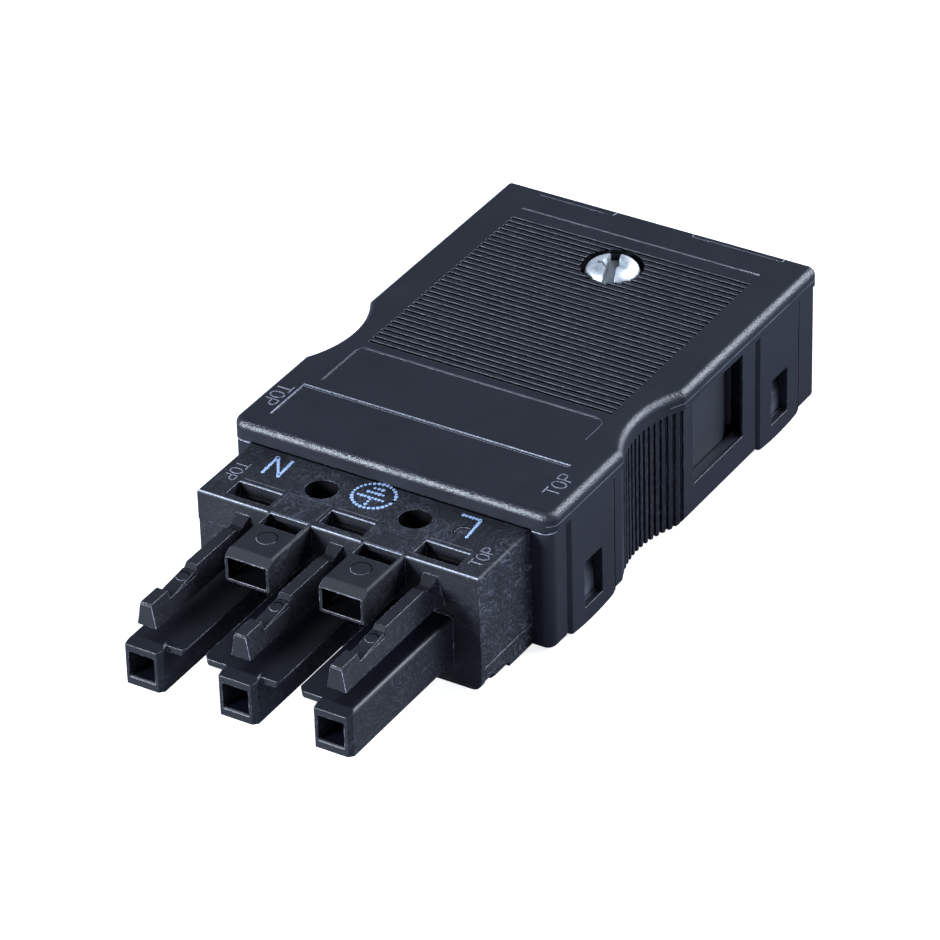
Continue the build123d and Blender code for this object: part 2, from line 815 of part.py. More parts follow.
def save(name, shape):
    """Put a piece in its place and write it."""
    solid = Pos(0, -overall_length / 2, shell_drop) * shape
    export_step(solid, "parts/" + name + ".step")
    print(name, len(solid.solids()), round(solid.volume, 2))


def main():
    os.makedirs("parts", exist_ok=True)
    save("connector_body", connector_body())
    save("connector_base", connector_base())
    save("base_shell", base_shell())
    save("cover", cover())
    save("clamp_bridge", bridge())
    save("clamp_screw", screw())
    save("clamp_nut", nut())
    for name, x in zip(("neutral", "earth", "line"), pole_places):
        save("contact_" + name, contact(x))
        save("contact_clip_" + name, clip(x))
        for side, place in (("left", -spring_offset), ("right", spring_offset)):
            save("wire_spring_" + name + "_" + side, clamp_spring(x + place))


main()
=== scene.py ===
import math

import bmesh
import bpy
from mathutils import Matrix, Vector


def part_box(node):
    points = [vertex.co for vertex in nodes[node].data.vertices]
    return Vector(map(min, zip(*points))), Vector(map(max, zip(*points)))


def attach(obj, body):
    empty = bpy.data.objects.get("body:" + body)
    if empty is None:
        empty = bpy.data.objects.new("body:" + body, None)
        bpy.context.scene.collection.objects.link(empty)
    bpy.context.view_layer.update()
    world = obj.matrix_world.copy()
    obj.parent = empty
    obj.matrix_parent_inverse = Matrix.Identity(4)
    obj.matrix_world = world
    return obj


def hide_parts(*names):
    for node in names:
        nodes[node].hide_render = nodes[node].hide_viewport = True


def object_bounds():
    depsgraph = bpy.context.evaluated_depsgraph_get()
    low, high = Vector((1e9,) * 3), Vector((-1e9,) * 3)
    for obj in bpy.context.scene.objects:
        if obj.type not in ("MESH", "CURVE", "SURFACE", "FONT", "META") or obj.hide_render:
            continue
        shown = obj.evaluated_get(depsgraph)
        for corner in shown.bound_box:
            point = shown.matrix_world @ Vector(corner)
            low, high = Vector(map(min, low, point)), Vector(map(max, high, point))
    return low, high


# Looks for a three-pole installation connector in its strain relief housing.
# Metres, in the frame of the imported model: x right seen from the sleeves, y to the cable end, z up.
# Places and sizes in the dictionaries are in mm unless a note says otherwise, with y counted from the
# sleeve tips. A noise's scale is per metre, and a drop is counted down from the top of its piece.
mm = 0.001
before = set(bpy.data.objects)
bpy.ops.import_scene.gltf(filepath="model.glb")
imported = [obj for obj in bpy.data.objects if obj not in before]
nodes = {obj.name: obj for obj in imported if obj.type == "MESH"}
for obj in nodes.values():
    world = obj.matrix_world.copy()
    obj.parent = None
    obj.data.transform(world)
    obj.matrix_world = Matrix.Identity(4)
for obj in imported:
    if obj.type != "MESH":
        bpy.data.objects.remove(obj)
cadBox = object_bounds()
scene = bpy.context.scene
scene.view_settings.view_transform = "Standard"
print("frame loaded:", len(nodes), "nodes")

bodyLow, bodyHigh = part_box("connector_body")
coverLow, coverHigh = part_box("cover")
screwLow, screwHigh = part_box("clamp_screw")
sleeveTip = bodyLow.y
bodyTop = bodyHigh.z
coverTop = coverHigh.z
armFlat = bodyTop - 2.32 * mm
poles = (-10.0, 0.0, 10.0)
gaps = (-5.0, 5.0)


# Place in the frame from x and y in mm and a height in metres
def spot(x, y, z):
    return Vector((x * mm, sleeveTip + y * mm, z))


# Limits in metres from limits in mm that count from a start in metres
def limits(pair, start=0.0):
    return [start + part * mm for part in pair]


def newThing(name, data):
    thing = bpy.data.objects.new(name, data)
    scene.collection.objects.link(thing)
    return thing


# Camera: angles in degrees
camera = {
    "place": (227.706, -361.360, 284.965),
    "azimuth": 32.370,
    "elevation": 33.098,
    "roll": -1.780,
    "lens": 209.423,
    "sensor": 36.0,
    "shiftX": 0.02563,
    "shiftY": 0.01309,
    "clip": (0.01, 20.0),  # in m
}


def makeCamera(c):
    data = bpy.data.cameras.new("photoCamera")
    data.lens = c["lens"]
    data.sensor_width = c["sensor"]
    data.shift_x = c["shiftX"]
    data.shift_y = c["shiftY"]
    data.clip_start, data.clip_end = c["clip"]
    eye = newThing("photoCamera", data)
    a, e = math.radians(c["azimuth"]), math.radians(c["elevation"])
    look = Vector((-math.sin(a) * math.cos(e), math.cos(a) * math.cos(e), -math.sin(e)))
    turn = look.to_track_quat("-Z", "Y").to_matrix().to_4x4()
    roll = Matrix.Rotation(math.radians(c["roll"]), 4, "Z")
    eye.matrix_world = Matrix.Translation(Vector(c["place"]) * mm) @ turn @ roll
    scene.camera = eye


makeCamera(camera)


# Node helpers
def setInput(tree, socket, value):
    if isinstance(value, bpy.types.NodeSocket):
        tree.links.new(value, socket)
    else:
        socket.default_value = value


# New node; settings are its properties and inputs its sockets by name
def put(tree, kind, settings=None, **inputs):
    node = tree.nodes.new(kind)
    for name, value in (settings or {}).items():
        setattr(node, name, value)
    for name, value in inputs.items():
        setInput(tree, node.inputs[name.replace("_", " ")], value)
    return node


def calc(tree, operation, *values):
    node = put(tree, "ShaderNodeMath", {"operation": operation})
    for socket, value in zip(node.inputs, values):
        setInput(tree, socket, value)
    return node.outputs[0]


def vectorMath(tree, operation, *vectors):
    node = put(tree, "ShaderNodeVectorMath", {"operation": operation})
    for socket, vector in zip(node.inputs, vectors):
        setInput(tree, socket, vector)
    return node


# Product of two or more values
def times(tree, product, *others):
    for other in others:
        product = calc(tree, "MULTIPLY", product, other)
    return product


def distance(tree, x, y):
    return calc(tree, "SQRT", calc(tree, "ADD", times(tree, x, x), times(tree, y, y)))


# 1 where the value lies between two limits, else 0
def within(tree, value, low, high):
    return times(tree, calc(tree, "GREATER_THAN", value, low), calc(tree, "LESS_THAN", value, high))


# Smooth step of a value from one range to another
def ramp(tree, value, low, high, toLow=0.0, toHigh=1.0):
    node = put(tree, "ShaderNodeMapRange", {"interpolation_type": "SMOOTHSTEP"})
    for socket, number in zip(node.inputs, (value, low, high, toLow, toHigh)):
        setInput(tree, socket, number)
    return node.outputs[0]


# 1 below the low limit, and smoothly down to 0 at the high one
def fade(tree, value, low=0.0, high=1.0):
    return ramp(tree, value, low, high, 1.0, 0.0)


# Smooth change from one value to another as a mask goes from 0 to 1
def eased(tree, mask, off, on):
    return ramp(tree, mask, 0.0, 1.0, off, on)


# Mix of two colours, or of two normals
def mixed(tree, factor, a, b, kind="RGBA"):
    node = put(tree, "ShaderNodeMix", {"data_type": kind})
    first, result = (6, 2) if kind == "RGBA" else (4, 1)
    for index, value in ((0, factor), (first, a), (first + 1, b)):
        setInput(tree, node.inputs[index], value)
    return node.outputs[result]


def noise(tree, place, scale, detail, output="Fac", roughness=0.5):
    node = put(tree, "ShaderNodeTexNoise", Vector=place, Scale=scale, Detail=detail, Roughness=roughness)
    return node.outputs[output]


def splitXyz(tree, vector):
    return put(tree, "ShaderNodeSeparateXYZ", Vector=vector).outputs


# Node group with named sockets: its tree, its input node and its output node
def newGroup(name, kind, inputs, outputs):
    tree = bpy.data.node_groups.new(name, kind)
    for way, sockets in (("INPUT", inputs), ("OUTPUT", outputs)):
        for label, value in sockets.items():
            tree.interface.new_socket(label, in_out=way, socket_type="NodeSocket" + value)
    return tree, tree.nodes.new("NodeGroupInput"), tree.nodes.new("NodeGroupOutput")


def shaderGroup(name, inputs, outputs):
    return newGroup(name, "ShaderNodeTree", inputs, outputs)


def useGroup(tree, group, **inputs):
    node = put(tree, "ShaderNodeGroup", {"node_tree": group})
    for name, value in inputs.items():
        setInput(tree, node.inputs[name], value)
    return node


# Shared effects
effects = {
    "toneScale": 0.06,  # share of the grain's own scale
    "toneBetween": (0.3, 0.7),
    "hairStirScale": 330.0,
    "hairTurns": ((0.0, 0.6, 0.9), (0.3, -0.5, 2.1)),  # in radians
    "hairBetween": (0.50, 0.76),
    "speckBetween": (0.12, 0.3),
    "edgeBetween": (0.74, 0.98),
    "edgeBreakScale": 1900.0,
    "edgeBreaks": (0.42, 0.66, 0.08, 1.0),
    "swirlStirScale": 900.0,
    "swirlStirTurn": 2.2,
    "swirlStirReach": 1.1,
    "swirlStretch": 2.6,
    "swirlBetween": (0.50, 0.68),
}


# Fine moulded grain: its height and a soft tone
def makeFineGrain(e):
    tree, given, out = shaderGroup("fineGrain", {"Place": "Vector", "Size": "Float"},
                                   {"Height": "Float", "Tone": "Float"})
    place, size = given.outputs["Place"], given.outputs["Size"]
    tone = noise(tree, place, times(tree, size, e["toneScale"]), 2.0)
    setInput(tree, out.inputs["Height"], noise(tree, place, size, 3.0, roughness=0.6))
    setInput(tree, out.inputs["Tone"], ramp(tree, tone, *e["toneBetween"]))
    return tree


# Fine curved brush marks: stretched noise in two directions, bent by a broad noise
def makeHairMarks(e):
    tree, given, out = shaderGroup("hairMarks", {"Place": "Vector", "Fine": "Float", "Long": "Float",
                                                 "Bend": "Float"}, {"Marks": "Float"})
    place, fine = given.outputs["Place"], given.outputs["Fine"]
    shift = vectorMath(tree, "SCALE", noise(tree, place, e["hairStirScale"], 1.0, "Color"))
    setInput(tree, shift.inputs["Scale"], given.outputs["Bend"])
    bent = vectorMath(tree, "ADD", place, shift.outputs[0])
    stretch = put(tree, "ShaderNodeCombineXYZ", X=given.outputs["Long"], Y=fine, Z=fine)
    marks = 0.0
    for turn in e["hairTurns"]:
        turned = put(tree, "ShaderNodeVectorRotate", {"rotation_type": "EULER_XYZ"},
                     Vector=bent.outputs[0], Rotation=turn)
        drawn = vectorMath(tree, "MULTIPLY", turned.outputs[0], stretch.outputs[0])
        streaks = noise(tree, drawn.outputs[0], 1.0, 2.0)
        marks = calc(tree, "MAXIMUM", marks, ramp(tree, streaks, *e["hairBetween"]))
    setInput(tree, out.inputs["Marks"], marks)
    return tree


# Small scattered specks
def makeSpecks(e):
    tree, given, out = shaderGroup("specks", {"Place": "Vector", "Size": "Float", "Share": "Float"},
                                   {"Marks": "Float"})
    cells = put(tree, "ShaderNodeTexVoronoi", Vector=given.outputs["Place"], Scale=given.outputs["Size"])
    drawn = put(tree, "ShaderNodeSeparateColor", Color=cells.outputs["Color"]).outputs[0]
    chosen = calc(tree, "LESS_THAN", drawn, given.outputs["Share"])
    dot = fade(tree, cells.outputs["Distance"], *e["speckBetween"])
    setInput(tree, out.inputs["Marks"], times(tree, chosen, dot))
    return tree


# Sharp edges, whole and broken up by a noise, and the normal of rounded edges; as a colour mask it paints
# edges partly as wear and partly as a painted highlight
def makeEdgeWearAndSheen(e):
    tree, given, out = shaderGroup("edgeWearAndSheen", {"Place": "Vector", "Width": "Float"},
                                   {"Mask": "Float", "Edge": "Float", "Normal": "Vector"})
    soft = put(tree, "ShaderNodeBevel", {"samples": 6}, Radius=given.outputs["Width"]).outputs[0]
    true = put(tree, "ShaderNodeNewGeometry").outputs["Normal"]
    facing = vectorMath(tree, "DOT_PRODUCT", soft, true)
    edge = fade(tree, facing.outputs["Value"], *e["edgeBetween"])
    kept = ramp(tree, noise(tree, given.outputs["Place"], e["edgeBreakScale"], 2.0), *e["edgeBreaks"])
    setInput(tree, out.inputs["Mask"], times(tree, edge, kept))
    setInput(tree, out.inputs["Edge"], edge)
    setInput(tree, out.inputs["Normal"], soft)
    return tree


# Fine streaks that run round a centre, folded to both sides of the middle
def makeSwirls(e):
    tree, given, out = shaderGroup("swirls", {"Place": "Vector", "Size": "Float", "Side": "Float",
                                              "Row": "Float", "Reach": "Float"}, {"Marks": "Float"})
    place = given.outputs["Place"]
    stir = noise(tree, place, e["swirlStirScale"], 1.0)
    across, row = splitXyz(tree, place)[:2]
    x = calc(tree, "SUBTRACT", calc(tree, "ABSOLUTE", across), given.outputs["Side"])
    y = calc(tree, "SUBTRACT", row, given.outputs["Row"])
    away = distance(tree, x, y)
    turn = calc(tree, "ADD", calc(tree, "ARCTAN2", y, x), times(tree, stir, e["swirlStirTurn"]))
    wavy = calc(tree, "ADD", away, times(tree, stir, e["swirlStirReach"] * mm))
    flat = put(tree, "ShaderNodeCombineXYZ", X=times(tree, wavy, given.outputs["Size"]),
               Y=times(tree, turn, e["swirlStretch"]))
    line = ramp(tree, noise(tree, flat.outputs[0], 1.0, 1.0), *e["swirlBetween"])
    near = fade(tree, away, 0.0, given.outputs["Reach"])
    setInput(tree, out.inputs["Marks"], times(tree, line, near))
    return tree


groups = {
    "swirls": makeSwirls(effects),
    "fineGrain": makeFineGrain(effects),
    "hairMarks": makeHairMarks(effects),
    "specks": makeSpecks(effects),
    "edgeWearAndSheen": makeEdgeWearAndSheen(effects),
}
print("shared effects made")


# Materials
def newPaint(name):
    paint = bpy.data.materials.new(name)
    paint.use_nodes = True
    return paint, paint.node_tree, paint.node_tree.nodes["Principled BSDF"]


def bumped(tree, height, strength, distance, onto=None):
    node = put(tree, "ShaderNodeBump", Height=height, Strength=strength, Distance=distance)
    if onto:
        tree.links.new(onto, node.inputs["Normal"])
    return node.outputs["Normal"]


coverLooks = {
    "colour": (0.0050, 0.0062, 0.0118, 1),
    "tone": (0.0105, 0.0120, 0.0195, 1),
    "toneShare": 0.3,
    "wornAndSheen": (0.17, 0.182, 0.225, 1),
    "wearWidth": 0.12,
    "grainSize": 3700.0,
    "grainDepth": 0.1,
    "flatGrain": 0.05,
    "shine": 0.5,
    "edgeShine": 0.45,
    "flatRoughness": 0.48,
    "edgeRoughness": 0.38,
    "sharpRoughness": 0.26,
    "sharpBetween": (0.0, 0.6),
    "grainRoughness": 0.04,
    "roundedFrom": (0.02, 0.25),
    "roundedTo": (0.9, 0.99),
    "rimSide": 14.75,
    "rimDrop": 1.3,
    "rimWidth": 0.5,
    "lugBetween": (15.7, 16.6),
    "lugHeights": (2.0, 5.0),
    "lugPlaces": (33.4, 68.9),
    "lugHalf": 1.6,
    "lugHighlightShare": 0.5,
    "windowSide": (14.5, 16.7),
    "windowRow": (52.4, 62.1),
    "windowFloor": 2.9,
    "windowDrop": 2.0,
    "plateLightTone": (0.020, 0.0225, 0.029, 1),
    "grooveHeights": (-0.06, -0.02),
    "grooveFloor": -0.5,
    "grooveSide": 14.6,
    "grooveFront": 2.5,
    "grooveShadeTone": (0.0015, 0.0015, 0.002, 1),
    "grooveShadeShare": 0.85,
    "grooveShine": 0.10,
    "partingDrop": 1.3,
    "partingWidth": (0.015, 0.05),
    "partingSide": 16.5,
    "partingBreaks": (0.2, 0.7, 0.35, 1.0),
}


def makeCoverPlastic(c):
    paint, tree, bsdf = newPaint("coverPlastic")
    place = put(tree, "ShaderNodeTexCoord")
    here = place.outputs["Object"]
    grain = useGroup(tree, groups["fineGrain"], Place=here, Size=c["grainSize"])
    wearAndSheen = useGroup(tree, groups["edgeWearAndSheen"], Place=here, Width=c["wearWidth"] * mm)
    across, row, level = splitXyz(tree, here)
    side = calc(tree, "ABSOLUTE", across)
    lean = splitXyz(tree, place.outputs["Normal"])[2]
    rounded = times(tree, ramp(tree, lean, *c["roundedFrom"]), fade(tree, lean, *c["roundedTo"]))
    tone = mixed(tree, times(tree, grain.outputs["Tone"], c["toneShare"]), c["colour"], c["tone"])
    # lighter edges: partly wear, partly a painted highlight
    base = mixed(tree, wearAndSheen.outputs["Mask"], tone, c["wornAndSheen"])
    # thin bright parting line along the sides of the cover
    drop = calc(tree, "ABSOLUTE", calc(tree, "SUBTRACT", level, coverTop - c["partingDrop"] * mm))
    outside = calc(tree, "GREATER_THAN", side, c["partingSide"] * mm)
    parting = times(tree, fade(tree, drop, *limits(c["partingWidth"])), outside,
                    ramp(tree, grain.outputs["Tone"], *c["partingBreaks"]))
    base = mixed(tree, parting, base, c["wornAndSheen"])
    # painted shade on the floors of the grooves in the top, which also dulls their shine
    inField = times(tree, calc(tree, "LESS_THAN", side, c["grooveSide"] * mm),
                    calc(tree, "GREATER_THAN", row, coverLow.y + c["grooveFront"] * mm))
    grooveShade = times(tree, fade(tree, level, *limits(c["grooveHeights"], coverTop)),
                   calc(tree, "GREATER_THAN", level, coverTop + c["grooveFloor"] * mm), inField)
    base = mixed(tree, times(tree, grooveShade, c["grooveShadeShare"]), base, c["grooveShadeTone"])
    # painted highlight on the lower part of the lugs behind the tabs' windows
    atLug = [calc(tree, "COMPARE", row, sleeveTip + y * mm, c["lugHalf"] * mm) for y in c["lugPlaces"]]
    lugHighlight = times(tree, within(tree, side, *limits(c["lugBetween"])),
                fade(tree, level, *limits(c["lugHeights"])), calc(tree, "MAXIMUM", *atLug))
    base = mixed(tree, times(tree, lugHighlight, c["lugHighlightShare"]), base, c["wornAndSheen"])
    # painted light on the sunk plates between the waist and the rear tabs, which makes them paler
    plateLight = times(tree, within(tree, side, *limits(c["windowSide"])),
                  within(tree, row, *limits(c["windowRow"], sleeveTip)),
                  within(tree, level, c["windowFloor"] * mm, coverTop - c["windowDrop"] * mm))
    base = mixed(tree, plateLight, base, c["plateLightTone"])
    setInput(tree, bsdf.inputs["Base Color"], base)
    shine = calc(tree, "ADD", eased(tree, grooveShade, c["shine"], c["grooveShine"]),
                 times(tree, rounded, c["edgeShine"]))
    setInput(tree, bsdf.inputs["Specular IOR Level"], shine)
    rough = eased(tree, rounded, c["flatRoughness"], c["edgeRoughness"])
    sharp = times(tree, wearAndSheen.outputs["Edge"], fade(tree, rounded))
    sharp = ramp(tree, sharp, *c["sharpBetween"], c["flatRoughness"], c["sharpRoughness"])
    rough = calc(tree, "MINIMUM", rough, sharp)
    rough = calc(tree, "ADD", rough, times(tree, grain.outputs["Tone"], c["grainRoughness"]))
    setInput(tree, bsdf.inputs["Roughness"], rough)
    # the side rims are rounder than the front rim
    broad = put(tree, "ShaderNodeBevel", {"samples": 8}, Radius=c["rimWidth"] * mm)
    rim = times(tree, calc(tree, "GREATER_THAN", side, c["rimSide"] * mm),
                calc(tree, "GREATER_THAN", level, coverTop - c["rimDrop"] * mm))
    normal = mixed(tree, rim, wearAndSheen.outputs["Normal"], broad.outputs[0], "VECTOR")
    depth = eased(tree, rounded, c["flatGrain"], 1.0)
    setInput(tree, bsdf.inputs["Normal"],
             bumped(tree, grain.outputs["Height"], depth, c["grainDepth"] * mm, normal))
    return paint


bodyLooks = {
    "colour": (0.0032, 0.0039, 0.0072, 1),
    "wornAndSheen": (0.30, 0.315, 0.38, 1),
    "wearWidth": 0.14,
    "hair": (0.085, 0.094, 0.125, 1),
    "hairFine": 4200.0,
    "hairLong": 650.0,
    "hairBend": 0.0045,
    "swirlSize": 3600.0,
    "swirlReach": 6.5,
    "holeSide": 5.0,
    "holeRow": 22.6,
    "holeRadius": 1.64,
    "boxHalf": 2.15,
    "boxRow": (10.12, 17.1),
    "boxHeights": (-3.05, -0.65),
    "hollowShadeTone": (0.0006, 0.0006, 0.0009, 1),
    "hollowShadeShare": 0.9,
    "stepRow": (8.0, 8.7),
    "stepLean": (-0.95, -0.5),
    "turnedBetween": (0.3, 0.8),
    "frontShadeMarks": (-0.9, -0.2, 0.35, 1.0),
    "patchSize": 260.0,
    "patchBetween": (0.42, 0.62),
    "patchShare": 0.45,
    "sideMarksAndSheen": 0.25,
    "leastShare": 0.22,
    "lowHeights": (-1.0, -0.5),
    "lowShadeShare": 0.15,
    "sleeveRow": (16.8, 17.1),
    "sleeveShadeShare": 0.5,
    "shine": 0.5,
    "dullShine": 0.15,
    "roughness": 0.54,
    "mostRoughness": 0.64,
    "sharpRoughness": 0.24,
    "sharpBetween": (0.0, 0.6),
    "lowRoughness": 0.38,
    "lowestHeights": (-4.5, -4.0),
    "grainRoughness": 0.12,
    "grainSize": 6500.0,
    "grainDepth": 0.016,
    "grainStrength": 0.45,
    "markHeight": 0.7,
}


def makeBodyPlastic(c):
    paint, tree, bsdf = newPaint("bodyPlastic")
    place = put(tree, "ShaderNodeTexCoord")
    here = place.outputs["Object"]
    holeSide, holeRow = c["holeSide"] * mm, sleeveTip + c["holeRow"] * mm
    grain = useGroup(tree, groups["fineGrain"], Place=here, Size=c["grainSize"])
    hairs = useGroup(tree, groups["hairMarks"], Place=here, Fine=c["hairFine"], Long=c["hairLong"],
                     Bend=c["hairBend"])
    swirls = useGroup(tree, groups["swirls"], Place=here, Size=c["swirlSize"], Side=holeSide, Row=holeRow,
                      Reach=c["swirlReach"] * mm)
    wearAndSheen = useGroup(tree, groups["edgeWearAndSheen"], Place=here, Width=c["wearWidth"] * mm)
    across, row, level = splitXyz(tree, here)
    toRight, toRear, toTop = splitXyz(tree, place.outputs["Normal"])
    upward = ramp(tree, toTop, *c["turnedBetween"])
    wall = fade(tree, upward)
    # brush marks everywhere and swirls on the top; fewer marks on faces turned to the front paint shade there
    forward = ramp(tree, toRear, *c["frontShadeMarks"])
    marks = calc(tree, "MAXIMUM", times(tree, hairs.outputs["Marks"], forward),
                 times(tree, swirls.outputs["Marks"], upward))
    patch = ramp(tree, noise(tree, here, c["patchSize"], 2.0), *c["patchBetween"])
    # stronger marks on faces turned to the right: partly brush marks, partly a painted sheen from the light
    # on that side
    strength = calc(tree, "ADD", times(tree, patch, c["patchShare"]),
                    times(tree, ramp(tree, toRight, *c["turnedBetween"]), c["sideMarksAndSheen"]))
    strength = calc(tree, "ADD", strength, c["leastShare"])
    # fewer marks on low flats and on the sleeves, which paints shade there
    sleeveRow = limits(c["sleeveRow"], sleeveTip)
    raised = times(tree, ramp(tree, level, *limits(c["lowHeights"], bodyTop), c["lowShadeShare"], 1.0),
                   ramp(tree, row, *sleeveRow, c["lowShadeShare"], 1.0))
    share = times(tree, calc(tree, "MAXIMUM", raised, wall),
                  ramp(tree, row, *sleeveRow, c["sleeveShadeShare"], 1.0))
    base = mixed(tree, times(tree, marks, times(tree, strength, share)), c["colour"], c["hair"])
    # lighter edges: partly wear, partly a painted highlight
    base = mixed(tree, wearAndSheen.outputs["Mask"], base, c["wornAndSheen"])
    # painted shade on the walls of the round holes between the poles and inside the coding boxes
    aside = calc(tree, "SUBTRACT", calc(tree, "ABSOLUTE", across), holeSide)
    away = distance(tree, aside, calc(tree, "SUBTRACT", row, holeRow))
    hole = times(tree, calc(tree, "LESS_THAN", away, c["holeRadius"] * mm), wall)
    hollow = times(tree, calc(tree, "LESS_THAN", calc(tree, "ABSOLUTE", aside), c["boxHalf"] * mm),
                   within(tree, level, *limits(c["boxHeights"], bodyTop)),
                   within(tree, row, *limits(c["boxRow"], sleeveTip)))
    hollowShade = calc(tree, "MAXIMUM", hole, hollow)
    base = mixed(tree, times(tree, hollowShade, c["hollowShadeShare"]), base, c["hollowShadeTone"])
    setInput(tree, bsdf.inputs["Base Color"], base)
    # the small steps on the arms are duller than the rest
    step = times(tree, within(tree, row, *limits(c["stepRow"], sleeveTip)),
                 within(tree, toRear, *c["stepLean"]))
    shine = eased(tree, calc(tree, "MAXIMUM", hollowShade, step), c["shine"], c["dullShine"])
    setInput(tree, bsdf.inputs["Specular IOR Level"], shine)
    # edges and the flats between the sleeves are smoother
    sharp = ramp(tree, wearAndSheen.outputs["Edge"], *c["sharpBetween"], c["mostRoughness"], c["sharpRoughness"])
    low = times(tree, upward, fade(tree, level, *limits(c["lowestHeights"], bodyTop)))
    rough = calc(tree, "ADD", c["roughness"], times(tree, grain.outputs["Tone"], c["grainRoughness"]))
    for limit in (sharp, eased(tree, low, c["mostRoughness"], c["lowRoughness"])):
        rough = calc(tree, "MINIMUM", rough, limit)
    setInput(tree, bsdf.inputs["Roughness"], rough)
    height = calc(tree, "ADD", grain.outputs["Height"], times(tree, marks, c["markHeight"]))
    setInput(tree, bsdf.inputs["Normal"],
             bumped(tree, height, c["grainStrength"], c["grainDepth"] * mm, wearAndSheen.outputs["Normal"]))
    return paint


# Inner materials: colour, share of it left in dark patches, roughness, metallic
innerLooks = {
    "bridgePlastic": ((0.014, 0.0145, 0.017, 1), 0.6, 0.45, 0.0),
    "tinnedContact": ((0.66, 0.65, 0.62, 1), 0.8, 0.28, 1.0),
    "springSteel": ((0.52, 0.52, 0.51, 1), 0.75, 0.3, 1.0),
    "grainSize": 4200.0,
    "grainDepth": 0.01,
    "grainStrength": 0.3,
    "grainRoughness": 0.15,
    "speckSize": 1800.0,
    "speckShare": 0.12,
    "speckDarkness": 0.4,
}


def makePlain(name, c):
    colour, darker, roughness, metallic = c[name]
    paint, tree, bsdf = newPaint(name)
    here = put(tree, "ShaderNodeTexCoord").outputs["Object"]
    grain = useGroup(tree, groups["fineGrain"], Place=here, Size=c["grainSize"])
    dust = useGroup(tree, groups["specks"], Place=here, Size=c["speckSize"], Share=c["speckShare"])
    shade = [part * darker for part in colour[:3]] + [1]
    base = mixed(tree, grain.outputs["Tone"], colour, shade)
    base = mixed(tree, times(tree, dust.outputs["Marks"], c["speckDarkness"]), base, shade)
    setInput(tree, bsdf.inputs["Base Color"], base)
    setInput(tree, bsdf.inputs["Metallic"], metallic)
    rough = calc(tree, "ADD", roughness, times(tree, grain.outputs["Tone"], c["grainRoughness"]))
    setInput(tree, bsdf.inputs["Roughness"], rough)
    setInput(tree, bsdf.inputs["Normal"],
             bumped(tree, grain.outputs["Height"], c["grainStrength"], c["grainDepth"] * mm))
    return paint


zincLooks = {
    "colour": (0.95, 0.98, 1.0, 1),
    # darker zinc for the faces of the slot, cross and cone: painted shade in these recesses
    "recess": (0.42, 0.45, 0.44, 1),
    "shade": (0.56, 0.62, 0.68, 1),
    "patchSize": 900.0,
    "patches": (0.42, 0.66, 0.0, 0.8),
    "roughness": 0.42,
    "grainRoughness": 0.25,
    "grainSize": 3000.0,
    "grainDepth": 0.02,
    "grainStrength": 0.35,
    "speckSize": 3500.0,
    "speckShare": 0.25,
    "speckDarkness": 0.35,
}


# Zinc plate in soft patches with fine pits
def makeZincPlate(name, colour, c):
    paint, tree, bsdf = newPaint(name)
    here = put(tree, "ShaderNodeTexCoord").outputs["Object"]
    grain = useGroup(tree, groups["fineGrain"], Place=here, Size=c["grainSize"])
    dust = useGroup(tree, groups["specks"], Place=here, Size=c["speckSize"], Share=c["speckShare"])
    patch = ramp(tree, noise(tree, here, c["patchSize"], 2.0), *c["patches"])
    base = mixed(tree, patch, colour, c["shade"])
    base = mixed(tree, times(tree, dust.outputs["Marks"], c["speckDarkness"]), base, c["shade"])
    setInput(tree, bsdf.inputs["Base Color"], base)
    setInput(tree, bsdf.inputs["Metallic"], 1.0)
    rough = calc(tree, "ADD", c["roughness"], times(tree, grain.outputs["Height"], c["grainRoughness"]))
    setInput(tree, bsdf.inputs["Roughness"], rough)
    height = calc(tree, "SUBTRACT", grain.outputs["Height"], dust.outputs["Marks"])
    setInput(tree, bsdf.inputs["Normal"], bumped(tree, height, c["grainStrength"], c["grainDepth"] * mm))
    return paint


# Thin marks: colour, pale colour, roughness, shine
inkLooks = {
    "printInk": ((0.26, 0.42, 0.72, 1), (0.48, 0.62, 0.86, 1), 0.6, 0.5),
    # the next three paint highlights of three strengths onto edges, lines and letters, and the last paints
    # shade
    "edgeHighlight": ((0.14, 0.15, 0.18, 1), (0.52, 0.55, 0.64, 1), 0.35, 0.5),
    "dimHighlight": ((0.035, 0.038, 0.052, 1), (0.10, 0.108, 0.135, 1), 0.45, 0.5),
    "softHighlight": ((0.035, 0.038, 0.048, 1), (0.33, 0.35, 0.42, 1), 0.4, 0.5),
    "paintedShade": ((0.0006, 0.0006, 0.0008, 1), (0.0015, 0.0015, 0.002, 1), 0.8, 0.02),
    "grainSize": 9000.0,
    "grainDepth": 0.01,
    "grainStrength": 0.4,
    "paleBetween": (0.35, 0.65),
}


def makeInk(name, c):
    colour, pale, roughness, shine = c[name]
    paint, tree, bsdf = newPaint(name)
    here = put(tree, "ShaderNodeTexCoord").outputs["Object"]
    grain = useGroup(tree, groups["fineGrain"], Place=here, Size=c["grainSize"])
    patch = ramp(tree, grain.outputs["Height"], *c["paleBetween"])
    setInput(tree, bsdf.inputs["Base Color"], mixed(tree, patch, colour, pale))
    setInput(tree, bsdf.inputs["Roughness"], roughness)
    setInput(tree, bsdf.inputs["Specular IOR Level"], shine)
    setInput(tree, bsdf.inputs["Normal"],
             bumped(tree, grain.outputs["Height"], c["grainStrength"], c["grainDepth"] * mm))
    return paint


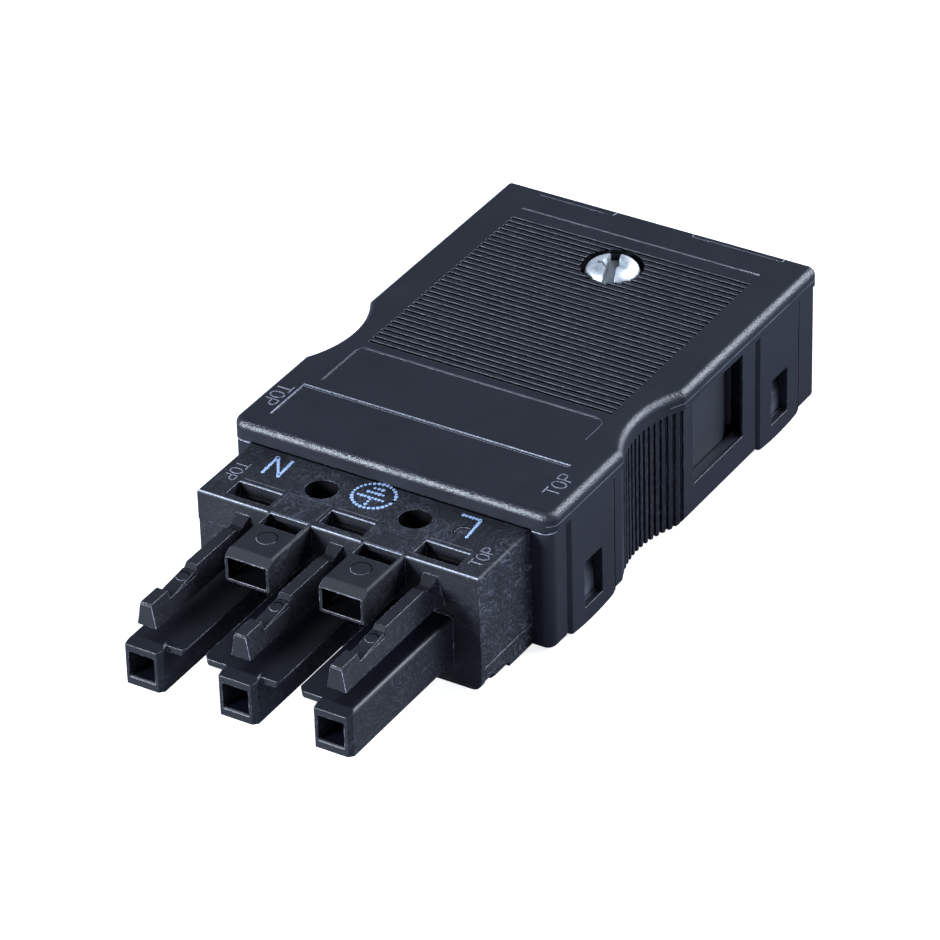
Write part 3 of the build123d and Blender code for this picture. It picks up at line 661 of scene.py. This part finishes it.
coverPlastic = makeCoverPlastic(coverLooks)
bodyPlastic = makeBodyPlastic(bodyLooks)
bridgePlastic = makePlain("bridgePlastic", innerLooks)
tinnedContact = makePlain("tinnedContact", innerLooks)
springSteel = makePlain("springSteel", innerLooks)
zincPlate = makeZincPlate("zincPlate", zincLooks["colour"], zincLooks)
zincRecessShade = makeZincPlate("zincRecessShade", zincLooks["recess"], zincLooks)
printInk = makeInk("printInk", inkLooks)
edgeHighlight = makeInk("edgeHighlight", inkLooks)
dimHighlight = makeInk("dimHighlight", inkLooks)
softHighlight = makeInk("softHighlight", inkLooks)
paintedShade = makeInk("paintedShade", inkLooks)

# Material of each node, by the start of its name
nodePaints = {
    "connector": bodyPlastic,
    "base_shell": coverPlastic,
    "cover": coverPlastic,
    "clamp_bridge": bridgePlastic,
    "clamp_screw": zincPlate,
    "clamp_nut": zincPlate,
    "contact_clip": springSteel,
    "contact": tinnedContact,
    "wire_spring": springSteel,
}


def paintNodes(paints):
    for name, node in nodes.items():
        start = max((key for key in paints if name.startswith(key)), key=len)
        node.data.materials.clear()
        node.data.materials.append(paints[start])


paintNodes(nodePaints)
print("materials made:", len(bpy.data.materials))


# Geometry Nodes for what repeats along drawn lines
def geometryGroup(name, inputs):
    return newGroup(name, "GeometryNodeTree", {"Lines": "Geometry", **inputs, "Paint": "Material"},
                    {"Geometry": "Geometry"})


def endGroup(tree, given, out, shape):
    whole = put(tree, "GeometryNodeRealizeInstances", Geometry=shape)
    painted = put(tree, "GeometryNodeSetMaterial", Geometry=whole.outputs[0], Material=given.outputs["Paint"])
    tree.links.new(painted.outputs[0], out.inputs[0])
    return tree


# Thin raised strips along lines
def makeStrokeLines():
    tree, given, out = geometryGroup("strokeLines", {"Width": "Float", "Rise": "Float"})
    path = put(tree, "GeometryNodeMeshToCurve", Mesh=given.outputs["Lines"])
    profile = put(tree, "GeometryNodeCurvePrimitiveQuadrilateral", Width=given.outputs["Width"],
                  Height=given.outputs["Rise"])
    upright = put(tree, "GeometryNodeSetCurveNormal", {"mode": "Z_UP"}, Curve=path.outputs[0])
    strip = put(tree, "GeometryNodeCurveToMesh", Curve=upright.outputs[0], Profile_Curve=profile.outputs[0],
                Fill_Caps=True)
    return endGroup(tree, given, out, strip.outputs[0])


# Small flat dots along lines, a little uneven in size
def makeDotRows():
    tree, given, out = geometryGroup("dotRows", {"Pitch": "Float", "Radius": "Float", "Rise": "Float",
                                                 "Uneven": "Float", "Seed": "Int"})
    path = put(tree, "GeometryNodeMeshToCurve", Mesh=given.outputs["Lines"])
    points = put(tree, "GeometryNodeResampleCurve", {"mode": "LENGTH"}, Curve=path.outputs[0],
                 Length=given.outputs["Pitch"])
    dot = put(tree, "GeometryNodeMeshCylinder", Vertices=10, Radius=given.outputs["Radius"],
              Depth=given.outputs["Rise"])
    size = put(tree, "FunctionNodeRandomValue", {"data_type": "FLOAT"})
    limit = {"Min": calc(tree, "SUBTRACT", 1.0, given.outputs["Uneven"]),
             "Max": calc(tree, "ADD", 1.0, given.outputs["Uneven"])}
    for socket in size.inputs:
        if socket.type == "VALUE" and socket.name in limit:
            setInput(tree, socket, limit[socket.name])
        if socket.name == "Seed":
            setInput(tree, socket, given.outputs["Seed"])
    drawn = [socket for socket in size.outputs if socket.type == "VALUE"][0]
    stretch = put(tree, "ShaderNodeCombineXYZ", X=drawn, Y=drawn, Z=1.0)
    many = put(tree, "GeometryNodeInstanceOnPoints", Points=points.outputs[0], Instance=dot.outputs[0],
               Scale=stretch.outputs[0])
    return endGroup(tree, given, out, many.outputs[0])


strokeLines = makeStrokeLines()
dotRows = makeDotRows()


# Mesh of edges along lines of places
def lineMesh(name, lines):
    points = []
    edges = []
    for line in lines:
        first = len(points)
        points += [tuple(p) for p in line]
        edges += [(i, i + 1) for i in range(first, first + len(line) - 1)]
    mesh = bpy.data.meshes.new(name)
    mesh.from_pydata(points, edges, [])
    return newThing(name, mesh)


# Turn all faces of a piece outwards
def outward(piece):
    mesh = bmesh.new()
    mesh.from_mesh(piece.data)
    bmesh.ops.recalc_face_normals(mesh, faces=mesh.faces[:])
    mesh.to_mesh(piece.data)
    mesh.free()


# Run a Geometry Nodes group on lines and keep the result as a plain mesh piece
def grown(name, lines, group, values):
    source = lineMesh(name + "Lines", lines)
    modifier = source.modifiers.new(group.name, "NODES")
    modifier.node_group = group
    for item in group.interface.items_tree:
        if item.in_out == "INPUT" and item.name in values:
            modifier[item.identifier] = values[item.name]
    bpy.context.view_layer.update()
    seen = source.evaluated_get(bpy.context.evaluated_depsgraph_get())
    mesh = bpy.data.meshes.new_from_object(seen)
    mesh.name = name
    bpy.data.objects.remove(source)
    piece = newThing(name, mesh)
    outward(piece)
    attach(piece, "housing")
    return piece


# Strips along lines; width and rise in mm
def stroked(name, lines, width, rise, paint):
    return grown(name, lines, strokeLines, {"Width": width * mm, "Rise": rise * mm, "Paint": paint})


# Places along a level arc; angles in degrees
def arcLine(x, y, z, radius, start, end, steps):
    turns = [math.radians(start + (end - start) * i / steps) for i in range(steps + 1)]
    return [spot(x + radius * math.cos(t), y + radius * math.sin(t), z) for t in turns]


# Places along a level line across the piece
def acrossLine(places, y, z):
    return [spot(x, y, z) for x in places]


# Printed pole marks
poleMarks = {
    "rise": 0.03,
    "dotRadius": 0.175,
    "dotDepth": 1.2,  # times the rise
    "uneven": 0.22,
    "seed": 4,
    "pitch": 0.33,
    "neutral": [[(-11.3, 22.45), (-11.4, 25.25), (-9.65, 22.5), (-9.8, 25.15)]],
    "line": [[(8.5, 25.3), (10.35, 25.3), (10.6, 22.35)]],
    "earthBars": [[(-1.7, 23.6), (0.9, 23.65)], [(-1.1, 24.42), (0.45, 24.47)], [(-0.85, 25.15), (0.0, 25.2)],
                  [(-0.3, 23.45), (-0.25, 22.5)]],
    "ring": (-0.25, 24.0, 2.05, 26),  # x, y, radius, steps
    "ringPitch": 0.42,
}


def makePoleMarks(c):
    z = bodyTop + c["rise"] * mm / 2
    lines = [[spot(x, y, z) for x, y in line] for key in ("neutral", "line", "earthBars") for line in c[key]]
    values = {"Pitch": c["pitch"] * mm, "Radius": c["dotRadius"] * mm, "Rise": c["dotDepth"] * c["rise"] * mm,
              "Uneven": c["uneven"], "Seed": c["seed"], "Paint": printInk}
    grown("poleMarks", lines, dotRows, values)
    x, y, radius, steps = c["ring"]
    values["Pitch"] = c["ringPitch"] * mm
    return grown("earthRing", [arcLine(x, y, z, radius, 0, 360, steps)], dotRows, values)


makePoleMarks(poleMarks)

# Moulded direction words on the cover and the body, drawn as painted highlights; strokes in shares of the
# letter height
topWords = {
    "width": 0.11,
    "rise": 0.05,
    "spread": 0.95,
    "letters": {
        "T": [[(0.0, 1.0), (0.8, 1.0)], [(0.4, 1.0), (0.4, 0.0)]],
        "O": [[(0.38 + 0.36 * math.cos(math.tau * i / 14), 0.5 + 0.5 * math.sin(math.tau * i / 14))
               for i in range(15)]],
        "P": [[(0.0, 0.0), (0.0, 1.0), (0.45, 1.0), (0.62, 0.88), (0.62, 0.62), (0.45, 0.5), (0.0, 0.5)]],
    },
    "advance": {"T": 0.92, "O": 1.0, "P": 0.8},
    "places": [
        # x and y of the baseline's start, turn in degrees, letter height, on the cover or the body
        (15.75, 29.45, 90, 1.45, "cover"),
        (-16.35, 33.55, -90, 1.45, "cover"),
        (14.15, 18.75, 90, 1.25, "body"),
        (-14.15, 23.0, -90, 1.25, "body"),
    ],
}


def makeTopWords(c):
    lines = []
    for x0, y0, turn, height, carrier in c["places"]:
        z = (coverTop if carrier == "cover" else bodyTop) + c["rise"] * mm / 4
        angle = math.radians(turn)
        pen = 0.0
        for letter in "TOP":
            for stroke in c["letters"][letter]:
                line = []
                for u, v in stroke:
                    u, v = (u * c["spread"] + pen) * height, v * height
                    line.append(spot(x0 + u * math.cos(angle) - v * math.sin(angle),
                                     y0 + u * math.sin(angle) + v * math.cos(angle), z))
                lines.append(line)
            pen += c["advance"][letter] * c["spread"]
    return stroked("topWords", lines, c["width"], c["rise"], softHighlight)


makeTopWords(topWords)

# Thin mould lines drawn as dim painted highlights, and painted highlights along edges of the body
mouldLines = {
    "width": 0.09,
    "rise": 0.03,
    "behindWindow": (20.75, 2.2),  # y and half length, as in the next ones
    "boxLine": (17.35, 2.1),
    "windowEdge": (20.16, 2.3),
    "boxEdge": (17.1, 2.0),
    "edgeWidth": 0.17,
    "patch": (2.3, 17.95, 20.7),  # half length, first and last y
    "frontEdge": (17.2, 0.09, 0.12),  # y, drop, width
    "frontSpans": [(-14.9, -7.4), (-2.6, 2.6), (7.4, 14.9)],
    "noseLines": [[(0.99, 1.2, 3.86), (0.8, 1.19, 2.7), (0.6, 1.2, 1.58)],  # x from the pole, y, drop
                  [(-0.42, 1.3, 1.5), (0.05, 1.3, 1.5)]],
    "noseWidth": 0.08,
}


def makeMouldLines(c):
    z = bodyTop
    y, half = c["behindWindow"]
    dull = [acrossLine((x - half, x + half), y, z) for x in poles]
    half, y0, y1 = c["patch"]
    x = gaps[0]
    dull.append([spot(x - half, y0, z), spot(x - half, y1, z), spot(x + half, y1, z), spot(x + half, y0, z)])
    y, half = c["boxLine"]
    dull += [acrossLine((x - half, x + half), y, z) for x in gaps]
    stroked("mouldLines", dull, c["width"], c["rise"], dimHighlight)
    bright = []
    for places, (y, half) in ((poles, c["windowEdge"]), (gaps, c["boxEdge"])):
        bright += [acrossLine((x - half, x, x + half), y, z) for x in places]
    stroked("edgeHighlights", bright, c["edgeWidth"], c["rise"], edgeHighlight)
    y, drop, width = c["frontEdge"]
    front = [acrossLine((x0, (x0 + x1) / 2, x1), y, z - drop * mm) for x0, x1 in c["frontSpans"]]
    stroked("frontEdgeHighlights", front, width, width, edgeHighlight)
    noses = [[spot(x + part, y, z - drop * mm) for part, y, drop in line]
             for x in poles for line in c["noseLines"]]
    return stroked("noseEdgeHighlights", noses, c["noseWidth"], 0.5 * c["noseWidth"], softHighlight)


makeMouldLines(mouldLines)

# Round marks of the mould's pins: a painted shadow on the far edge and a painted highlight on the near edge.
# A pin is its x, y and radius, and an arc its first and last angle and its steps.
pinMarks = {
    "width": 0.09,
    "paleWidth": 0.063,
    "rise": 0.03,
    "boxPins": [(-5.0, 13.45, 0.98), (5.0, 13.45, 0.98)],
    "boxArcs": ((5, 185, 16), (200, 350, 14)),
    "armPin": (7.1, 0.62, 8),  # y, radius, steps
    "armSlope": (4.1, 0.112),  # y of its start, rise per length
    "armClip": 0.5,
    "bodyPin": (9.95, 22.85, 0.95),
    "bodyArcs": ((60, 215, 14), (75, 200, 12)),
    "bodyInset": 0.12,
}


def makePinMarks(c):
    farArc, nearArc = c["boxArcs"]
    far = [arcLine(x, y, bodyTop, radius, *farArc) for x, y, radius in c["boxPins"]]
    near = [arcLine(x, y, bodyTop, radius, *nearArc) for x, y, radius in c["boxPins"]]
    start, slope = c["armSlope"]
    y, radius, steps = c["armPin"]
    side = math.degrees(math.acos(c["armClip"] / radius))
    for x in poles:
        for marks, turn in ((far, 0), (near, 180)):
            line = arcLine(x, y, armFlat, radius, turn + side, turn + 180 - side, steps)
            marks.append([p + Vector((0, 0, slope * (p.y - sleeveTip - start * mm))) for p in line])
    x, y, radius = c["bodyPin"]
    farArc, nearArc = c["bodyArcs"]
    far.append(arcLine(x, y, bodyTop, radius, *farArc))
    near.append(arcLine(x, y, bodyTop, radius - c["bodyInset"], *nearArc))
    stroked("pinShadows", far, c["width"], c["rise"], paintedShade)
    return stroked("pinHighlights", near, c["paleWidth"], c["rise"], softHighlight)


makePinMarks(pinMarks)

# Painted highlights, bright, dull and faint, along edges beside the outlines of the cover and along its seam
coverLines = {
    "rise": 0.04,
    "brightWidth": 0.12,
    "dullWidth": 0.10,
    "faintWidth": 0.06,
    "bright": [
        [(-14.42, 28.75), (-14.42, 34.55), (14.3, 34.55)],
        [(11.0, 72.3), (13.2, 72.3)],
        [(-7.4, 75.3), (-4.75, 75.3), (-4.6, 75.85)],
        [(3.95, 75.85), (4.1, 75.5), (6.0, 75.5)],
        [(13.3, 75.5), (13.9, 75.5), (13.95, 75.85)],
    ],
    "dull": [
        [(-14.3, 34.2), (14.3, 34.2)],
        [(-13.42, 35.9), (-13.42, 41.9), (-13.2, 42.45), (-12.8, 42.75), (12.2, 42.75)],
        [(-13.0, 75.3), (-4.75, 75.3)],
        [(4.0, 75.5), (13.9, 75.5)],
    ],
    "faint": [
        [(12.2, 42.75), (12.95, 42.5), (13.3, 41.9), (13.3, 38.9)],
        [(-13.2, 72.3), (13.2, 72.3)],
    ],
    "seamDrop": 2.06,
    "seamStart": 15.12,
    "seamCorner": (15.95, 27.3, 1.1),  # x, y, radius
    "seamRear": (17.05, 73.6, 75.85),  # x, first and last y
}


def makeCoverLines(c):
    bright, dull, faint = [[[spot(x, y, coverTop) for x, y in line] for line in c[key]]
                           for key in ("bright", "dull", "faint")]
    low = coverTop - c["seamDrop"] * mm
    x, y, radius = c["seamCorner"]
    corner = [spot(c["seamStart"], y - radius, low)] + arcLine(x, y, low, radius, -90, 0, 8)
    x, y0, y1 = c["seamRear"]
    for side in (-1, 1):
        bright.append([Vector((side * p.x, p.y, p.z)) for p in corner])
        bright.append([spot(side * x, y0, low), spot(side * x, y1, low)])
    stroked("brightCoverLines", bright, c["brightWidth"], c["rise"], edgeHighlight)
    stroked("coverLines", dull, c["dullWidth"], c["rise"], dimHighlight)
    return stroked("faintCoverLines", faint, c["faintWidth"], c["rise"], dimHighlight)


makeCoverLines(coverLines)

# Painted shade: a shadow under the front rim of the cover, and dark strips in the slits beside the tabs
paintedShadeLines = {
    "rim": (26.13, 14.85),  # y, half length
    "rimWidth": 0.2,
    "rimRise": 0.03,
    "slits": (37.53, 73.03),
    "slitSide": 17.03,
    "slitHeights": (0.3, 12.6),
    "slitWidth": 0.14,
}


def makePaintedShadeLines(c):
    y, half = c["rim"]
    stroked("rimShadow", [acrossLine((-half, 0, half), y, bodyTop)], c["rimWidth"], c["rimRise"], paintedShade)
    slits = [[spot(side * c["slitSide"], y, z) for z in limits(c["slitHeights"])]
             for side in (-1, 1) for y in c["slits"]]
    return stroked("slitShade", slits, c["slitWidth"], c["slitWidth"], paintedShade)


makePaintedShadeLines(paintedShadeLines)

# Gentle ramps on the flats of the latch arms, up to their steps
armRamps = {
    "from": 4.1,
    "to": 8.12,
    "sink": 0.02,
    "rise": 0.45,
    "halfLow": 0.72,
    "halfHigh": 0.64,
    "faces": ((0, 1, 3, 2), (0, 4, 5, 1), (2, 3, 5, 4), (0, 2, 4), (1, 5, 3)),
}


def makeArmRamps(c):
    points = []
    faces = []
    z0 = armFlat - c["sink"] * mm
    z1 = z0 + c["rise"] * mm
    rows = ((c["halfLow"], c["from"], z0), (c["halfLow"], c["to"], z0), (c["halfHigh"], c["to"], z1))
    for x in poles:
        first = len(points)
        for half, y, z in rows:
            points += [tuple(p) for p in acrossLine((x - half, x + half), y, z)]
        faces += [[first + i for i in face] for face in c["faces"]]
    mesh = bpy.data.meshes.new("armRamps")
    mesh.from_pydata(points, [], faces)
    mesh.materials.append(bodyPlastic)
    piece = newThing("armRamps", mesh)
    outward(piece)
    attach(piece, "housing")
    return piece


makeArmRamps(armRamps)
print("marks and lines made")

# Clamp screw: pan head with a slot, a cross and a centre cone, and a rolled thread
screwShape = {
    "headRadius": 2.72,
    "headHeight": 2.2,
    "rimHeight": 0.95,
    "rimFoot": (0.06, 0.08),
    "flatShare": 0.45,
    "crownSteps": 14,
    "roundSteps": 72,
    "slotLength": 2.4,  # times the head's radius
    "slotWidth": 1.15,
    "slotDepth": 1.36,
    "slotTurn": -20.4,
    "crossReach": 1.45,
    "crossWidth": 0.55,
    "crossDepth": 0.8,
    "coneRadius": 1.0,
    "coneDepth": 1.3,
    "coneTip": 0.5,  # share of the cone's radius
    "coneTop": 1.2,  # times the head's height
    "coneSteps": 40,
    "soften": 0.05,
    "coreRadius": 1.22,
    "crestRadius": 1.5,
    "crestShare": 3.2,
    "threadPitch": 0.5,
    "threadFoot": 0.5,
    "threadStart": 0.6,
    "threadRows": 6,  # for each turn
    "turnSteps": 28,
    "intoHead": 0.2,
    "sharpAngle": 32.0,
}


# Shape turned round the z axis from pairs of radius and height
def revolved(name, profile, steps):
    points = []
    faces = []
    rings = []
    for radius, height in profile:
        first = len(points)
        if radius:
            rings.append(list(range(first, first + steps)))
            turns = [math.tau * i / steps for i in range(steps)]
            points += [(radius * math.cos(t), radius * math.sin(t), height) for t in turns]
        else:
            rings.append([first])
            points.append((0, 0, height))
    for low, high in zip(rings, rings[1:]):
        for i in range(steps):
            j = (i + 1) % steps
            corners = (low[i % len(low)], low[j % len(low)], high[j % len(high)], high[i % len(high)])
            faces.append(list(dict.fromkeys(corners)))
    mesh = bpy.data.meshes.new(name)
    mesh.from_pydata(points, [], faces)
    return newThing(name, mesh)


# Pan head: a short upright rim, a rounded crown and a flat top
def makeScrewHead(c, centre):
    radius, height, rim = c["headRadius"] * mm, c["headHeight"] * mm, c["rimHeight"] * mm
    flat = c["flatShare"] * radius
    footIn, footUp = c["rimFoot"]
    profile = [(0, 0), (radius - footIn * mm, 0), (radius, footUp * mm), (radius, rim)]
    for i in range(1, c["crownSteps"] + 1):
        t = math.pi / 2 * i / c["crownSteps"]
        profile.append((flat + (radius - flat) * math.cos(t), rim + (height - rim) * math.sin(t)))
    profile.append((0, height))
    head = revolved("screwHead", profile, c["roundSteps"])
    head.data.materials.append(zincPlate)
    cuts = []
    for sizeX, sizeY, deep in ((c["slotLength"] * radius, c["slotWidth"] * mm, c["slotDepth"]),
                               (c["crossWidth"] * mm, 2 * c["crossReach"] * mm, c["crossDepth"])):
        bpy.ops.mesh.primitive_cube_add(size=1)
        cut = bpy.context.object
        cut.scale = (sizeX, sizeY, 2 * deep * mm)
        cut.location = (0, 0, height)
        cuts.append(cut)
    wide, tip, above = c["coneRadius"] * mm, height - c["coneDepth"] * mm, c["coneTop"] * height
    cone = [(0, tip), (c["coneTip"] * wide, tip), (wide, height), (wide, above), (0, above)]
    cuts.append(revolved("cone", cone, c["coneSteps"]))
    for cut in cuts:
        # the recess faces take the darker zinc, a painted shade
        cut.data.materials.append(zincRecessShade)
        bite = head.modifiers.new("recess", "BOOLEAN")
        bite.operation = "DIFFERENCE"
        bite.solver = "EXACT"
        bite.object = cut
        bite.material_mode = "TRANSFER"
    soften = head.modifiers.new("soften", "BEVEL")
    soften.width = c["soften"] * mm
    soften.segments = 2
    soften.limit_method = "ANGLE"
    bpy.context.view_layer.update()
    mesh = bpy.data.meshes.new_from_object(head.evaluated_get(bpy.context.evaluated_depsgraph_get()))
    for thing in cuts + [head]:
        bpy.data.objects.remove(thing)
    turn = Matrix.Rotation(math.radians(90 - c["slotTurn"]), 4, "Z")
    mesh.transform(Matrix.Translation(centre) @ turn)
    return mesh


# Shank whose radius follows a rolled thread
def makeThread(c, centre, low, high):
    steps = c["turnSteps"]
    core, crest, pitch = c["coreRadius"] * mm, c["crestRadius"] * mm, c["threadPitch"] * mm
    length = high - low
    rows = int(length / pitch * c["threadRows"])
    points = [(0, 0, low)]
    for row in range(rows + 1):
        z = low + length * row / rows
        plain = min(1.0, (z - low) / (c["threadFoot"] * mm)) * min(1.0, (high - z) / (c["threadStart"] * mm))
        for i in range(steps):
            part = ((z - low) / pitch - i / steps) % 1.0
            swell = max(0.0, 1 - abs(part - 0.5) * c["crestShare"])
            r = core + (crest - core) * swell * plain
            points.append((r * math.cos(math.tau * i / steps), r * math.sin(math.tau * i / steps), z))
    points.append((0, 0, high))
    faces = []
    last = 1 + rows * steps
    for i in range(steps):
        j = (i + 1) % steps
        faces.append((0, 1 + j, 1 + i))
        for a in range(1, last, steps):
            faces.append((a + i, a + j, a + steps + j, a + steps + i))
        faces.append((last + i, last + j, len(points) - 1))
    mesh = bpy.data.meshes.new("screwShank")
    mesh.from_pydata(points, [], faces)
    mesh.transform(Matrix.Translation((centre.x, centre.y, 0)))
    return mesh


def makeScrew(c):
    middle = (screwLow + screwHigh) / 2
    seat = screwHigh.z - c["headHeight"] * mm
    head = makeScrewHead(c, Vector((middle.x, middle.y, seat)))
    shank = makeThread(c, middle, screwLow.z, seat + c["intoHead"] * mm)
    whole = bmesh.new()
    whole.from_mesh(head)
    whole.from_mesh(shank)
    bmesh.ops.recalc_face_normals(whole, faces=whole.faces[:])
    mesh = bpy.data.meshes.new("panHeadScrew")
    whole.to_mesh(mesh)
    whole.free()
    for face in mesh.polygons:
        face.use_smooth = True
    mesh.set_sharp_from_angle(angle=math.radians(c["sharpAngle"]))
    mesh.materials.append(zincPlate)
    mesh.materials.append(zincRecessShade)
    piece = newThing("panHeadScrew", mesh)
    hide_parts("clamp_screw")
    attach(piece, "screw")
    return piece


makeScrew(screwShape)
print("screw made")

# Studio: lamps, sky and floor in m
studio = {
    "floor": (0.93, 0.93, 0.94, 1),
    "floorSeen": 0.80,
    "floorGlossy": (0.27, 0.295, 0.36, 1),
    "floorRoughness": 0.9,
    "floorShine": 0.1,
    "floorSize": 3.0,
    "floorGap": 0.00002,
    "sky": (0.81, 0.93, 1.20, 1),
    "skyStrength": 0.26,
    "lampColour": (0.79, 0.87, 1.0),
    "lampAim": (0, 0, 0.007),
    "lamps": [
        # name, place, size, power in W
        ("softFrontLeft", (-0.36, -0.67, 0.275), 0.30, 13.5),
        ("softBackRight", (0.49, 0.64, 0.40), 0.72, 13.5),
    ],
}


def makeFloor(s):
    bpy.ops.mesh.primitive_plane_add(size=s["floorSize"], location=(0, 0, cadBox[0].z - s["floorGap"]))
    floor = bpy.context.object
    floor.name = "studioFloor"
    floor.data.transform(floor.matrix_world)
    floor.matrix_world = Matrix.Identity(4)
    paint, tree, bsdf = newPaint("studioFloor")
    ray = tree.nodes.new("ShaderNodeLightPath")
    setInput(tree, bsdf.inputs["Base Color"],
             mixed(tree, ray.outputs["Is Glossy Ray"], s["floor"], s["floorGlossy"]))
    setInput(tree, bsdf.inputs["Roughness"], s["floorRoughness"])
    setInput(tree, bsdf.inputs["Specular IOR Level"], s["floorShine"])
    setInput(tree, bsdf.inputs["Emission Color"], (1, 1, 1, 1))
    setInput(tree, bsdf.inputs["Emission Strength"],
             times(tree, ray.outputs["Is Camera Ray"], s["floorSeen"]))
    floor.data.materials.append(paint)


# White to the camera, and pale blue light for all else
def makeSky(s):
    world = bpy.data.worlds.new("studio")
    scene.world = world
    world.use_nodes = True
    tree = world.node_tree
    back = tree.nodes["Background"]
    setInput(tree, back.inputs["Color"], s["sky"])
    ray = tree.nodes.new("ShaderNodeLightPath")
    lift = times(tree, ray.outputs["Is Camera Ray"], 1.0 - s["skyStrength"])
    setInput(tree, back.inputs["Strength"], calc(tree, "ADD", lift, s["skyStrength"]))


def makeLamps(s):
    for name, place, size, power in s["lamps"]:
        data = bpy.data.lights.new(name, "AREA")
        data.shape = "DISK"
        data.size = size
        data.energy = power
        data.color = s["lampColour"]
        lamp = newThing(name, data)
        lamp.location = place
        lamp.rotation_mode = "QUATERNION"
        lamp.rotation_quaternion = (Vector(s["lampAim"]) - Vector(place)).to_track_quat("-Z", "Y")


makeFloor(studio)
makeSky(studio)
makeLamps(studio)
print("studio made")
